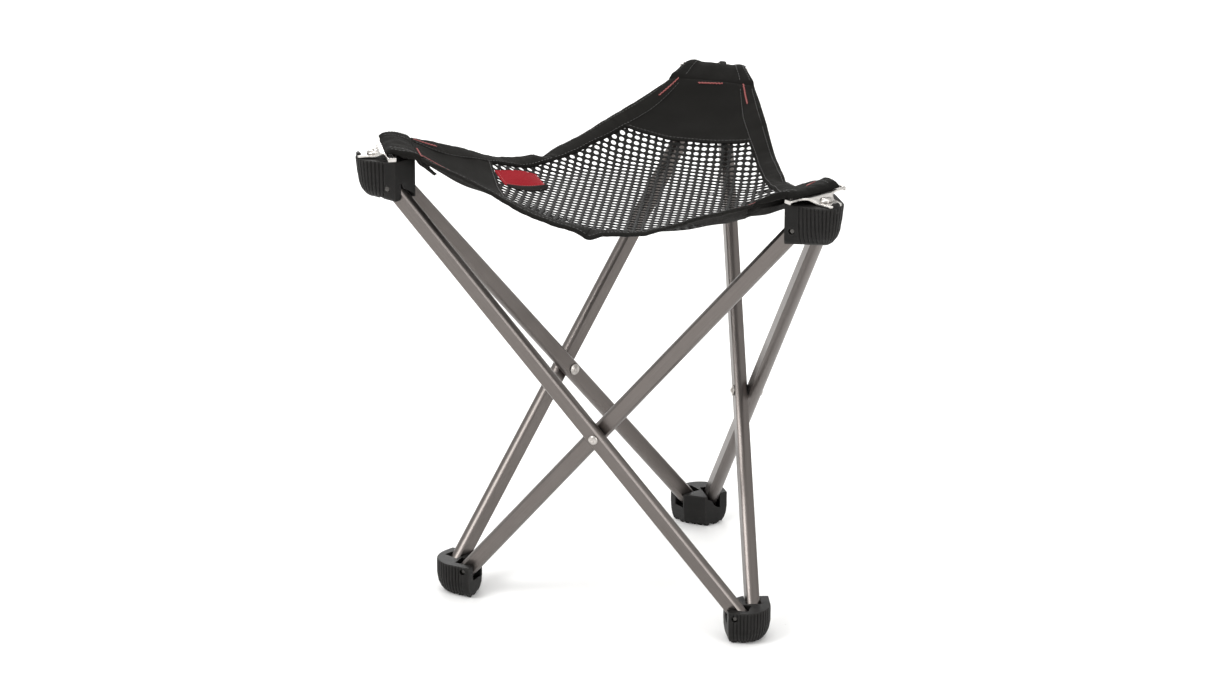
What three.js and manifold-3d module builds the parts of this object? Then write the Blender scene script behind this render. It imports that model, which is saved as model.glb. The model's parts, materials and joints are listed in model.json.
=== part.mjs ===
// Folding three-legged camp stool. Units are millimetres, +Z is up, the floor is z = 0, and
// the origin is the centre of the bounding box's footprint. The front side faces -Y.
// Three plastic hubs on top and three plastic feet below are joined by six tubes that
// form three X-shaped scissors, one riveted pair on each side of the triangle.
// A mesh seat hangs from a steel plate screwed on top of each hub.
// The whole frame repeats every 120 degrees about a vertical axis.
import * as THREE from 'three';
import * as BufferGeometryUtils from 'three/addons/utils/BufferGeometryUtils.js';
import Module from 'manifold-3d';

// ---- driving dimensions ---------------------------------------------------------------
const HALF_TOP = 190.0;          // half distance between the two top pivots of one side
const HALF_BOTTOM = 134.6;       // half distance between the two bottom pivots of one side
const CORNER_SETBACK = 23.0;     // pivot to virtual triangle corner, along the side
const PIVOT_RISE = 382.9;        // bottom pivots to top pivots
const FOOT_PIVOT_Z = 26.5;       // bottom pivots above the floor
const LAYER_PITCH = 13.4;        // distance between the two tubes' mid-planes in one X
const AXIS_X = -3.525;           // the three-fold axis
const AXIS_Y = -54.009;

const TUBE_D = 16.2;             // tube across its round sides
const TUBE_T = 12.0;             // tube across its two flats
const TUBE_WALL = 1.2;
const TUBE_OVERHANG = 8.0;       // tube beyond its pivot

const PIN_R = 2.6;
const PIN_HOLE_CORNER_R = 2.8;   // in hubs and feet
const PIN_HOLE_TUBE_R = 3.1;
const PIN_HOLE_EXTRA = 0.3;      // hole beyond the pin's inward end
// pin ends, measured from the tube's mid-plane
const HUB_PIN = { outward: 12.6, inward: 11.2 };
const FOOT_PIN = { outward: 13.4, inward: 10.4 };

const PLATE_Z = 25.4;            // underside, above the top pivots
const PLATE_T = 2.0;
const PLATE_TOP = PLATE_Z + PLATE_T;
const SCREW_AT = [-1.7, 7.4];    // in the corner frame

// ---- geometry helpers -----------------------------------------------------------------
const wasm = await Module();
wasm.setup();

// Turns a geometry into a manifold solid; the geometry's normals and uvs are dropped.
function solid(geometry) {
  geometry.deleteAttribute('normal');
  geometry.deleteAttribute('uv');
  const merged = BufferGeometryUtils.mergeVertices(geometry, 1e-4);
  return new wasm.Manifold(new wasm.Mesh({
    numProp: 3,
    vertProperties: new Float32Array(merged.attributes.position.array),
    triVerts: new Uint32Array(merged.index.array),
  }));
}

function geometryOf(manifold) {
  const mesh = manifold.getMesh();
  const geometry = new THREE.BufferGeometry();
  geometry.setAttribute('position', new THREE.Float32BufferAttribute(mesh.vertProperties, 3));
  geometry.setIndex(new THREE.Uint32BufferAttribute(mesh.triVerts, 1));
  geometry.computeVertexNormals();
  return geometry;
}

function indexedGeometry(positions, triangles) {
  const geometry = new THREE.BufferGeometry();
  geometry.setAttribute('position', new THREE.Float32BufferAttribute(positions, 3));
  geometry.setIndex(triangles);
  return geometry;
}

const toVectors = (points) => points.map(([x, y]) => new THREE.Vector2(x, y));

// A prism from an (x, y) outline, from z0 to z1, with an optional hole outline.
function prism(outline, z0, z1, hole) {
  const shape = new THREE.Shape(toVectors(outline));
  if (hole) shape.holes.push(new THREE.Path(toVectors(hole)));
  const settings = { depth: z1 - z0, bevelEnabled: false };
  return new THREE.ExtrudeGeometry(shape, settings).translate(0, 0, z0);
}

function box([length, width, height], x, y, z) {
  return new THREE.BoxGeometry(length, width, height).translate(x, y, z);
}

// A cylinder between two points.
function rod(from, to, radius, segments = 12) {
  const start = new THREE.Vector3(...from);
  const end = new THREE.Vector3(...to);
  const length = start.distanceTo(end);
  const direction = end.clone().sub(start).normalize();
  const turn = new THREE.Quaternion().setFromUnitVectors(new THREE.Vector3(0, 1, 0), direction);
  return new THREE.CylinderGeometry(radius, radius, length, segments)
    .applyQuaternion(turn)
    .translate((start.x + end.x) / 2, (start.y + end.y) / 2, (start.z + end.z) / 2);
}

// A solid of revolution about +Z, from [radius, z] points.
function lathe(profile, segments = 12) {
  return new THREE.LatheGeometry(toVectors(profile), segments).rotateX(Math.PI / 2);
}

// A closed solid through a stack of { z, outline } levels with equal point counts.
function loft(levels) {
  const count = levels[0].outline.length;
  const positions = levels.flatMap(({ z, outline }) => outline.flatMap(([x, y]) => [x, y, z]));
  const triangles = [];
  for (let k = 0; k + 1 < levels.length; k++) {
    for (let i = 0; i < count; i++) {
      const low = k * count + i;
      const lowNext = k * count + ((i + 1) % count);
      const high = low + count;
      const highNext = lowNext + count;
      triangles.push(low, lowNext, highNext, low, highNext, high);
    }
  }
  const addCap = (level, facesUp) => {
    const base = level * count;
    const outline = toVectors(levels[level].outline);
    for (const [i, j, k] of THREE.ShapeUtils.triangulateShape(outline, [])) {
      if (facesUp) triangles.push(base + i, base + j, base + k);
      else triangles.push(base + k, base + j, base + i);
    }
  };
  addCap(0, false);
  addCap(levels.length - 1, true);
  return indexedGeometry(positions, triangles);
}

// A sheet with thickness over rows of [x, y, z] points, each row `columns` points long.
// Its two faces lie at z + upper and z + lower.
function thickSheet(points, columns, upper, lower) {
  const count = points.length;
  const lastRow = count / columns - 1;
  const lastColumn = columns - 1;
  const positions = [upper, lower].flatMap((offset) => (
    points.flatMap(([x, y, z]) => [x, y, z + offset])));
  const triangles = [];
  for (let i = 0; i < lastRow; i++) {
    for (let j = 0; j < lastColumn; j++) {
      const near = i * columns + j;
      const nearNext = near + 1;
      const far = near + columns;
      const farNext = far + 1;
      triangles.push(near, far, farNext, near, farNext, nearNext);
      triangles.push(count + near, count + farNext, count + far);
      triangles.push(count + near, count + nearNext, count + farNext);
    }
  }
  const rim = [];
  for (let j = 0; j < lastColumn; j++) rim.push(j);
  for (let i = 0; i < lastRow; i++) rim.push(i * columns + lastColumn);
  for (let j = lastColumn; j > 0; j--) rim.push(lastRow * columns + j);
  for (let i = lastRow; i > 0; i--) rim.push(i * columns);
  rim.forEach((here, i) => {
    const next = rim[(i + 1) % rim.length];
    triangles.push(here, next, count + next, here, count + next, count + here);
  });
  return indexedGeometry(positions, triangles);
}

// ---- layout of the folding frame ------------------------------------------------------
const INV_COS30 = 1 / Math.cos(Math.PI / 6);
const THIRD_TURN = (2 * Math.PI) / 3;
const LEFT_ANGLE = (210 * Math.PI) / 180;   // the front side's left corner, about the axis
const RIGHT_ANGLE = (-30 * Math.PI) / 180;  // and its right corner

const HUB_CORNER_R = (HALF_TOP + CORNER_SETBACK) * INV_COS30;      // axis to virtual corner
const FOOT_CORNER_R = (HALF_BOTTOM + CORNER_SETBACK) * INV_COS30;
const SIDE_TOP_D = HUB_CORNER_R / 2;                               // axis to side plane
const SIDE_BOTTOM_D = FOOT_CORNER_R / 2;
const SPREAD = SIDE_TOP_D - SIDE_BOTTOM_D;
const LEAN = Math.atan2(SPREAD, PIVOT_RISE);                       // of each side plane
const TUBE_L = Math.hypot(HALF_TOP + HALF_BOTTOM, SPREAD, PIVOT_RISE);  // pivot to pivot
const FAN = Math.atan2(SPREAD, HALF_TOP + HALF_BOTTOM);            // tube off its side, in plan
const HUB_HALF_ANGLE = Math.PI / 6 - FAN;    // tube heading from a hub's radius
const FOOT_HALF_ANGLE = Math.PI / 6 + FAN;   // tube heading from a foot's radius

// Side frame: x along the side, -y outwards, z up from the bottom pivots.
const SIDE_NORMAL = new THREE.Vector3(0, -Math.cos(LEAN), -Math.sin(LEAN));

// The 'outer' tube runs from top left to bottom right, the 'inner' one from top right to
// bottom left.
function sidePivots(tube) {
  const sign = tube === 'outer' ? 1 : -1;
  const offset = SIDE_NORMAL.clone().multiplyScalar((sign * LAYER_PITCH) / 2);
  const top = new THREE.Vector3(-sign * HALF_TOP, -SIDE_TOP_D, PIVOT_RISE).add(offset);
  const bottom = new THREE.Vector3(sign * HALF_BOTTOM, -SIDE_BOTTOM_D, 0).add(offset);
  return { top, bottom, along: bottom.clone().sub(top).normalize() };
}

// Corner frame: x = radially out, y = anticlockwise, z up from the pivot level.
// The two joints of a corner, on its +y and -y cheeks. `head` is the tube's plan heading
// and `out` the cheek's outward normal.
function cornerJoints({ end, tubes, radius, level, halfAngle }) {
  const cheeks = [[tubes[0], LEFT_ANGLE, 1], [tubes[1], RIGHT_ANGLE, -1]];
  return cheeks.map(([tube, angle, sign]) => {
    const { x, y, z } = sidePivots(tube)[end];
    const cos = Math.cos(angle);
    const sin = Math.sin(angle);
    return {
      tube,
      pivot: [x * cos + y * sin - radius, -x * sin + y * cos, z - level],
      head: [-Math.cos(halfAngle), sign * Math.sin(halfAngle)],
      out: [Math.sin(halfAngle), sign * Math.cos(halfAngle)],
    };
  });
}
const HUB_JOINTS = cornerJoints({
  end: 'top',
  tubes: ['outer', 'inner'],
  radius: HUB_CORNER_R,
  level: PIVOT_RISE,
  halfAngle: HUB_HALF_ANGLE,
});
const FOOT_JOINTS = cornerJoints({
  end: 'bottom',
  tubes: ['inner', 'outer'],
  radius: FOOT_CORNER_R,
  level: 0,
  halfAngle: FOOT_HALF_ANGLE,
});

// ---- features shared by hubs and feet -------------------------------------------------
const SLOT_HALF = 7.15;          // half width of the tube slots
const SLOT_R = 12.4;             // round end of the tube slots
const SLOT_ROUND_POINTS = 14;
const SLOT_ROUND_PHASE = 0.05;   // radians
// wedge of each slot, [along the tube's heading, z], from the pivot
const HUB_SLOT_WEDGE = [[-9.2, 3], [-9.2, -60], [62.5, -60], [7.2, 6.1]];   // open down
const FOOT_SLOT_WEDGE = [[-9.2, -3], [7.2, -6.1], [62.5, 60], [-9.2, 60]];  // open up
const PIN_HOLE_OUTWARD = 30;     // pin hole cutter, from the tube's mid-plane outwards
const NOSE_STEPS = 12;
const TAIL_HALF = 11.0;          // half width of the central tail

// Slot cutter in the vertical plane of a tube.
function slotCutter({ pivot, head }, wedge) {
  const frame = new THREE.Matrix4().makeBasis(
    new THREE.Vector3(head[0], head[1], 0),
    new THREE.Vector3(0, 0, 1),
    new THREE.Vector3(head[1], -head[0], 0),
  ).setPosition(...pivot);
  const round = [];
  for (let i = 0; i < SLOT_ROUND_POINTS; i++) {
    const angle = (i * 2 * Math.PI) / SLOT_ROUND_POINTS + SLOT_ROUND_PHASE;
    round.push([SLOT_R * Math.cos(angle), SLOT_R * Math.sin(angle)]);
  }
  const cut = (outline) => solid(prism(outline, -SLOT_HALF, SLOT_HALF).applyMatrix4(frame));
  return cut(round).add(cut(wedge));
}

// A rod on a joint's pin line, between distances outward and inward of the tube.
function pinRod({ pivot, out }, outward, inward, radius) {
  const pointAt = (d) => [pivot[0] + out[0] * d, pivot[1] + out[1] * d, pivot[2]];
  return rod(pointAt(outward), pointAt(-inward), radius);
}

function cutJoints(body, joints, wedge, pin) {
  let result = body;
  for (const joint of joints) result = result.subtract(slotCutter(joint, wedge));
  for (const joint of joints) {
    const depth = pin.inward + PIN_HOLE_EXTRA;
    const hole = pinRod(joint, PIN_HOLE_OUTWARD, depth, PIN_HOLE_CORNER_R);
    result = result.subtract(solid(hole));
  }
  return result;
}

// Plan outline: a round nose, two straight cheeks and a central tail. The arm ends sit
// on the cheek lines of the full nose radius, drawn in by armPull.
function cornerOutline({ centre, noseR, fullR, armPull, armL, tail, halfAngle, joints }) {
  const points = [];
  const cheekAngle = Math.PI / 2 - halfAngle;    // direction of the +y cheek's normal
  for (let i = 0; i <= NOSE_STEPS; i++) {
    const angle = -cheekAngle + (2 * cheekAngle * i) / NOSE_STEPS;
    points.push([centre[0] + noseR * Math.cos(angle), centre[1] + noseR * Math.sin(angle)]);
  }
  const armEnd = ({ out, head }) => {
    const x = centre[0] + (fullR - armPull) * out[0];
    const y = centre[1] + (fullR - armPull) * out[1];
    const rest = armL - (x * head[0] + y * head[1]);
    return [x + head[0] * rest, y + head[1] * rest];
  };
  points.push(armEnd(joints[0]));
  points.push([tail, centre[1] + TAIL_HALF]);
  points.push([tail, centre[1] - TAIL_HALF]);
  points.push(armEnd(joints[1]));
  return points;
}

// ---- hub ------------------------------------------------------------------------------
const HUB_TOP = 25.0;            // above the top pivots
const HUB_BOTTOM = -12.0;
const HUB_Y = 7.05;
const HUB_PLAN = {
  centre: [-3.1, HUB_Y],
  fullR: 17.9,
  armL: 30,
  tail: -38.4,
  halfAngle: HUB_HALF_ANGLE,
  joints: HUB_JOINTS,
};
// z, nose radius, arm pull
const HUB_LEVELS = [
  [HUB_BOTTOM, 5.2, 1.4],
  [-9.8, 8.2, 0.3],
  [-5.0, 11.4, 0],
  [2.0, 14.2, 0],
  [11.0, 16.1, 0],
  [HUB_TOP - 0.9, 17.4, 0],
  [HUB_TOP, 16.7, 0.6],
];
// horn plan, [x, y from HUB_Y]
const HORN = [[9.8, -3.6], [12.5, -3.6], [13.5, -2.4], [13.5, 2.4], [12.5, 3.6], [9.8, 3.6]];
const HORN_ROOT = 3;             // depth of the horn's foot inside the hub
const HORN_TOP = 29.0;
const INSERT_BORE = { radius: 4.3, bottom: 12.6, top: 40 };

function hubGeometry() {
  let body = solid(loft(HUB_LEVELS.map(([z, noseR, armPull]) => (
    { z, outline: cornerOutline({ ...HUB_PLAN, noseR, armPull }) }))));
  // horn at the nose, standing in the plate's notch
  body = body.add(solid(prism(HORN, HUB_TOP - HORN_ROOT, HORN_TOP).translate(0, HUB_Y, 0)));
  body = cutJoints(body, HUB_JOINTS, HUB_SLOT_WEDGE, HUB_PIN);
  const { radius, bottom, top } = INSERT_BORE;
  body = body.subtract(solid(rod([...SCREW_AT, bottom], [...SCREW_AT, top], radius)));
  return geometryOf(body);
}

// ---- foot -----------------------------------------------------------------------------
const SOLE_Z = -FOOT_PIVOT_Z;
const FOOT_RIM = 5.5;            // above the bottom pivots
const FOOT_NOSE_R = 24.0;
const FOOT_PLAN = {
  centre: [-18.4, -7.9],
  fullR: FOOT_NOSE_R,
  armL: 29.0,
  halfAngle: FOOT_HALF_ANGLE,
  joints: FOOT_JOINTS,
};
// z, nose radius, arm pull, tail x
const FOOT_LEVELS = [
  [SOLE_Z, 14.6, 7.0, -29.6],
  [SOLE_Z + 1.8, 17.8, 5.0, -31.6],
  [-21.0, 20.6, 2.6, -33.4],
  [-16.0, 22.8, 0.8, -34.8],
  [-9.0, FOOT_NOSE_R, 0, -35.4],
  [FOOT_RIM - 0.8, FOOT_NOSE_R, 0, -35.4],
  [FOOT_RIM, 23.3, 0.6, -34.8],
];
// The groove cutters are centred on the sole plane, from x = first to before x = end.
const GROOVE = { size: [2.2, 90, 3.0], first: -31.0, end: -5, pitch: 5.2 };

function footGeometry() {
  let body = solid(loft(FOOT_LEVELS.map(([z, noseR, armPull, tail]) => (
    { z, outline: cornerOutline({ ...FOOT_PLAN, noseR, armPull, tail }) }))));
  body = cutJoints(body, FOOT_JOINTS, FOOT_SLOT_WEDGE, FOOT_PIN);
  // grooves across the sole leave gripping teeth
  for (let x = GROOVE.first; x < GROOVE.end; x += GROOVE.pitch) {
    body = body.subtract(solid(box(GROOVE.size, x, FOOT_PLAN.centre[1], SOLE_Z)));
  }
  return geometryOf(body);
}

// ---- tubes ----------------------------------------------------------------------------
const RIVET_FROM_TOP = 294.4;    // crossing, measured along the tube from the top pivot
const RIVET_HOLE_R = { outer: 3.15, inner: 4.5 };
const RIVET_HOLE_SEGMENTS = 14;
const PIN_CUT = 20;              // half lengths of the hole cutters
const RIVET_CUT = 12;
const TUBE_ARC_STEPS = 5;

// Tube section: two round sides joined by two flats.
function tubeOutline(diameter, thickness) {
  const radius = diameter / 2;
  const halfArc = Math.asin(thickness / 2 / radius);
  const points = [];
  for (const middle of [0, Math.PI]) {
    for (let i = 0; i <= TUBE_ARC_STEPS; i++) {
      const angle = middle - halfArc + (2 * halfArc * i) / TUBE_ARC_STEPS;
      points.push([radius * Math.cos(angle), radius * Math.sin(angle)]);
    }
  }
  return points;
}

function tubeGeometry(tube) {
  const { top, bottom, along } = sidePivots(tube);
  const across = new THREE.Vector3().crossVectors(SIDE_NORMAL, along).normalize();
  const frame = new THREE.Matrix4().makeBasis(across, SIDE_NORMAL, along).setPosition(top);
  const outline = tubeOutline(TUBE_D, TUBE_T);
  const bore = tubeOutline(TUBE_D - 2 * TUBE_WALL, TUBE_T - 2 * TUBE_WALL).reverse();
  const blank = prism(outline, -TUBE_OVERHANG, TUBE_L + TUBE_OVERHANG, bore);
  let body = solid(blank.applyMatrix4(frame));
  const drill = (at, direction, reach, radius, segments) => {
    const from = at.clone().addScaledVector(direction, -reach).toArray();
    const to = at.clone().addScaledVector(direction, reach).toArray();
    body = body.subtract(solid(rod(from, to, radius, segments)));
  };
  // the hinge pins are level and square to the tube's plan heading
  const pinDirection = new THREE.Vector3(-along.y, along.x, 0).normalize();
  for (const pivot of [top, bottom]) drill(pivot, pinDirection, PIN_CUT, PIN_HOLE_TUBE_R);
  const crossing = top.clone().addScaledVector(along, RIVET_FROM_TOP);
  drill(crossing, SIDE_NORMAL, RIVET_CUT, RIVET_HOLE_R[tube], RIVET_HOLE_SEGMENTS);
  return geometryOf(body);
}

// ---- rivet and washer at the crossing -------------------------------------------------
const RIVET_R = 2.9;
const RIVET_HEAD_R = 4.6;
const RIVET_TAIL_R = 5.2;
const OUTER_FLAT = LAYER_PITCH / 2 + TUBE_T / 2;  // outer tube's outer flat, from mid-plane
const GAP_HALF = LAYER_PITCH / 2 - TUBE_T / 2;    // half the gap between the tubes
const HEAD_SEAT = OUTER_FLAT + 0.15;
const TAIL_SEAT = -OUTER_FLAT - 0.45;
const WASHER_BOTTOM = GAP_HALF - 0.95;
const WASHER_TOP = GAP_HALF - 0.12;
// profiles: radius, distance outwards from the side's mid-plane
const RIVET_PROFILE = [
  [0, TAIL_SEAT - 2.6],
  [2.0, TAIL_SEAT - 2.6],
  [2.2, TAIL_SEAT - 1.3],
  [RIVET_TAIL_R, TAIL_SEAT - 1.0],
  [RIVET_TAIL_R, TAIL_SEAT],
  [RIVET_R, TAIL_SEAT],
  [RIVET_R, HEAD_SEAT],
  [RIVET_HEAD_R, HEAD_SEAT],
  [RIVET_HEAD_R, HEAD_SEAT + 0.6],
  [RIVET_HEAD_R - 0.7, HEAD_SEAT + 1.5],
  [RIVET_HEAD_R - 2.2, HEAD_SEAT + 2.2],
  [0, HEAD_SEAT + 2.5],
];
const WASHER_PROFILE = [
  [3.2, WASHER_BOTTOM],
  [5.6, WASHER_BOTTOM],
  [5.6, WASHER_TOP],
  [3.2, WASHER_TOP],
  [3.2, WASHER_BOTTOM],
];

// A turned part on the rivet's line, midway between the two tubes.
function turnedAtCrossing(profile) {
  const { top, along } = sidePivots('outer');
  const centre = top.addScaledVector(along, RIVET_FROM_TOP)
    .addScaledVector(SIDE_NORMAL, -LAYER_PITCH / 2);
  const xAxis = new THREE.Vector3(1, 0, 0);
  const yAxis = new THREE.Vector3().crossVectors(SIDE_NORMAL, xAxis);
  const frame = new THREE.Matrix4().makeBasis(xAxis, yAxis, SIDE_NORMAL).setPosition(centre);
  return geometryOf(solid(lathe(profile))).applyMatrix4(frame);
}

// ---- hook plate -----------------------------------------------------------------------
// +y half of the T-shaped plate, [x, y from HUB_Y]: a tongue under the screw and a long
// crossbar whose ends stand past the hub
const PLATE_HALF = [
  [12.8, 4.6], [11.6, 7.0], [5.4, 8.8], [-1.6, 10.2], [-5.8, 12.6], [-8.8, 17.0],
  [-10.2, 23.0], [-10.6, 32.0], [-11.8, 33.2], [-18.0, 33.2], [-19.2, 32.0],
];
const PLATE_SLOT = { xMin: -16.5, xMax: -13.0, halfLength: 30.4 };
const LIP = { size: [7.4, 1.6, 4.0], x: -14.9, y: 32.4, z: PLATE_Z + 0.4 };
const NOTCH = { size: [8.0, 8.2, 12.0], x: 13.2, z: 28.4 };
const PLATE_HOLE = { radius: 2.9, bottom: 0, top: 60 };

function plateGeometry() {
  const outline = [
    ...PLATE_HALF.map(([x, y]) => [x, HUB_Y + y]),
    ...PLATE_HALF.toReversed().map(([x, y]) => [x, HUB_Y - y]),
  ];
  const { xMin, xMax, halfLength } = PLATE_SLOT;
  const slot = [
    [xMax, HUB_Y + halfLength],
    [xMin, HUB_Y + halfLength],
    [xMin, HUB_Y - halfLength],
    [xMax, HUB_Y - halfLength],
  ];
  let body = solid(prism(outline, PLATE_Z, PLATE_TOP, slot));
  // turned-down lips at the crossbar's two ends
  for (const sign of [-1, 1]) {
    body = body.add(solid(box(LIP.size, LIP.x, HUB_Y + sign * LIP.y, LIP.z)));
  }
  // clearance notch for the hub's horn
  body = body.subtract(solid(box(NOTCH.size, NOTCH.x, HUB_Y, NOTCH.z)));
  const { radius, bottom, top } = PLATE_HOLE;
  body = body.subtract(solid(rod([...SCREW_AT, bottom], [...SCREW_AT, top], radius)));
  return geometryOf(body);
}

// ---- plate screw and threaded insert --------------------------------------------------
const SCREW_SEAT = PLATE_TOP + 0.15;
const SCREW_SEGMENTS = 16;
// profiles: radius, z
const SCREW_PROFILE = [
  [0, 14.4],
  [2.2, 14.4],
  [2.2, SCREW_SEAT],
  [6.1, SCREW_SEAT],
  [6.1, SCREW_SEAT + 0.5],
  [5.5, SCREW_SEAT + 1.7],
  [4.0, SCREW_SEAT + 2.7],
  [2.0, SCREW_SEAT + 3.1],
  [0, SCREW_SEAT + 3.2],
];
const INSERT_PROFILE = [
  [2.5, 13.2], [3.7, 13.2], [3.7, 14.2], [4.0, 14.6], [4.0, 24.6], [2.5, 24.6], [2.5, 13.2],
];
// the two boxes of the cross recess
const RECESS_SIZES = [[4.6, 1.2, 3.2], [1.2, 4.6, 3.2]];
const RECESS_Z = SCREW_SEAT + 3.3;

function screwGeometry() {
  let body = solid(lathe(SCREW_PROFILE, SCREW_SEGMENTS).translate(...SCREW_AT, 0));
  for (const size of RECESS_SIZES) {
    body = body.subtract(solid(box(size, ...SCREW_AT, RECESS_Z)));
  }
  return geometryOf(body);
}

function insertGeometry() {
  return geometryOf(solid(lathe(INSERT_PROFILE).translate(...SCREW_AT, 0)));
}

// ---- webbing head ---------------------------------------------------------------------
const WEBBING = { xMin: -38.0, xMax: -11.4, halfWidth: 29.5, chamfer: 3 };
// z, inset of the sides and the outward end
const WEBBING_LEVELS = [
  [PLATE_TOP + 0.6, 1.5],
  [PLATE_TOP + 3.0, 0],
  [33, 0],
  [36, 2.5],
  [37.5, 6],
];

function webbingGeometry() {
  return loft(WEBBING_LEVELS.map(([z, inset]) => {
    const { xMin, chamfer } = WEBBING;
    const half = WEBBING.halfWidth - inset;
    const xMax = WEBBING.xMax - inset;
    const outline = [
      [xMin, HUB_Y - half],
      [xMax - chamfer, HUB_Y - half],
      [xMax, HUB_Y - half + chamfer],
      [xMax, HUB_Y + half - chamfer],
      [xMax - chamfer, HUB_Y + half],
      [xMin, HUB_Y + half],
    ];
    return { z, outline };
  }));
}

// ---- seat surface ---------------------------------------------------------------------
// Heights are from the top pivots, radii from the three-fold axis.
const SEAT_EDGE_D = 139.0;       // straight seat edges, from the axis
const SEAT_MID_Z = -20.4;        // middle of each edge
const SEAT_CENTRE_Z = -23.5;     // the seat's middle
const SEAT_CORNER_R = 224.0;
const SEAT_CORNER_Z = 29.0;
const SEAT_T = 3.0;
const EDGE_SPAN = 178;           // distance along an edge, from its middle, for t = 1
const EDGE_T_MAX = 1.299;
const CORNER_LINE_POWER = 2.8;   // rise from the seat's middle to a corner
const CREASE_POWER = 1.5;        // rise from the seat's middle to an edge's middle
const MAX_ACROSS = 1.1;          // limit of the fraction across a third

// t from the middle of an edge to its end, height on a third's +v side, and on its -v side
const EDGE_HEIGHTS = [
  [0, SEAT_MID_Z, SEAT_MID_Z],
  [0.16, -15.5, -18.5],
  [0.32, -8.5, -13.6],
  [0.45, -0.5, -4.5],
  [0.6, 8.0, 7.5],
  [0.8, 19.0, 19.0],
  [1.0, 29.0, 29.0],
  [1.3, 44.0, 44.0],
];

function edgeHeight(t, column) {
  const clamped = Math.min(Math.max(t, 0), EDGE_T_MAX);
  let i = 0;
  while (EDGE_HEIGHTS[i + 1][0] < clamped) i++;
  const from = EDGE_HEIGHTS[i];
  const to = EDGE_HEIGHTS[i + 1];
  return from[column] + ((to[column] - from[column]) * (clamped - from[0])) / (to[0] - from[0]);
}

// Half width of a third, out to the crease lines and out to the seat edges.
const creaseLimit = (r) => Math.sqrt(3) * r;
const edgeLimit = (r) => (SEAT_EDGE_D - 0.5 * r) * INV_COS30;

// Height of one third of the seat: r towards the corner, v anticlockwise across it. Each
// third is drawn down along the crease lines that run from the middle of the seat to the
// middle of each edge.
function sectorZ(radial, v) {
  const r = Math.max(radial, 0.01);
  const rise = Math.pow(r / SEAT_CORNER_R, CORNER_LINE_POWER);
  const line = SEAT_CENTRE_Z + (SEAT_CORNER_Z - SEAT_CENTRE_Z) * rise;
  let limit;
  let edge;
  if (r < SEAT_EDGE_D / 2) {
    const creaseRise = Math.pow((2 * r) / SEAT_EDGE_D, CREASE_POWER);
    limit = creaseLimit(r);
    edge = SEAT_CENTRE_Z + (SEAT_MID_Z - SEAT_CENTRE_Z) * creaseRise;
  } else {
    limit = edgeLimit(r);
    const t = (r * Math.cos(Math.PI / 6) - 0.5 * limit) / EDGE_SPAN;
    edge = edgeHeight(t, v > 0 ? 1 : 2);
  }
  const across = Math.min(Math.abs(v) / limit, MAX_ACROSS);
  return line + (edge - line) * across * across;
}

// Height at a point about the axis, taken from the third it lies in.
function seatZ(x, y) {
  let best = -Infinity;
  let height = 0;
  for (let k = 0; k < 3; k++) {
    const angle = LEFT_ANGLE + k * THIRD_TURN;
    const cos = Math.cos(angle);
    const sin = Math.sin(angle);
    const r = x * cos + y * sin;
    if (r > best) {
      best = r;
      height = sectorZ(r, -x * sin + y * cos);
    }
  }
  return height;
}

// ---- seat panel, edge binding and tab -------------------------------------------------
const PANEL_RADII = [1.2, 22, 46, 69.5, 92, 118, 146, 175, 203.5];
const PANEL_STEPS = 6;           // across a panel
const PANEL_GAP = 1.0;           // from the crease lines, across the panel

// One third of the sling, from the middle to one corner. x runs from the axis to the corner.
function panelGeometry() {
  const points = PANEL_RADII.flatMap((r) => {
    const limit = Math.min(creaseLimit(r) - PANEL_GAP, edgeLimit(r));
    const row = [];
    for (let j = 0; j <= PANEL_STEPS; j++) {
      const v = limit * (-1 + (2 * j) / PANEL_STEPS);
      row.push([r, v, sectorZ(r, v)]);
    }
    return row;
  });
  return thickSheet(points, PANEL_STEPS + 1, SEAT_T / 2, -SEAT_T / 2);
}

const BINDING_HALF = 150;
const BINDING_STEPS = 16;
// binding section: distance from the axis, height from the seat surface
const BINDING_SECTION = [
  [SEAT_EDGE_D + 0.5, -2.4],
  [SEAT_EDGE_D + 2.6, -2.4],
  [SEAT_EDGE_D + 2.6, 2.4],
  [SEAT_EDGE_D + 0.5, 2.4],
];

// Folded tape along one long edge of the seat, in the side frame.
function bindingGeometry() {
  const positions = [];
  const triangles = [];
  for (let i = 0; i <= BINDING_STEPS; i++) {
    const x = -BINDING_HALF + (2 * BINDING_HALF * i) / BINDING_STEPS;
    const z = seatZ(x, -SEAT_EDGE_D);
    for (const [distance, rise] of BINDING_SECTION) positions.push(x, -distance, z + rise);
  }
  for (let i = 0; i < BINDING_STEPS; i++) {
    for (let j = 0; j < 4; j++) {
      const here = i * 4 + j;
      const next = i * 4 + ((j + 1) % 4);
      triangles.push(here, next + 4, next, here, here + 4, next + 4);
    }
  }
  const end = BINDING_STEPS * 4;
  triangles.push(0, 1, 2, 0, 2, 3);
  triangles.push(end, end + 2, end + 1, end, end + 3, end + 2);
  return indexedGeometry(positions, triangles);
}

const TAB_PLAN = { start: [-131, -26], run: [0.6364, 0.7714], length: 51.9, width: 18.5 };
const TAB_TOP = 5.0;             // above the seat surface
const TAB_BOTTOM = 4.0;
const TAB_STEPS = { along: 3, across: 2 };

// Fabric tab on the left corner's third of the mesh.
function tabGeometry() {
  const { start, run, length, width } = TAB_PLAN;
  const points = [];
  for (let i = 0; i <= TAB_STEPS.across; i++) {
    const across = (width * i) / TAB_STEPS.across;
    for (let j = 0; j <= TAB_STEPS.along; j++) {
      const along = (length * j) / TAB_STEPS.along;
      const x = start[0] + run[0] * along + run[1] * across;
      const y = start[1] + run[1] * along - run[0] * across;
      points.push([x, y, seatZ(x, y)]);
    }
  }
  return thickSheet(points, TAB_STEPS.along + 1, TAB_TOP, TAB_BOTTOM);
}

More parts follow.
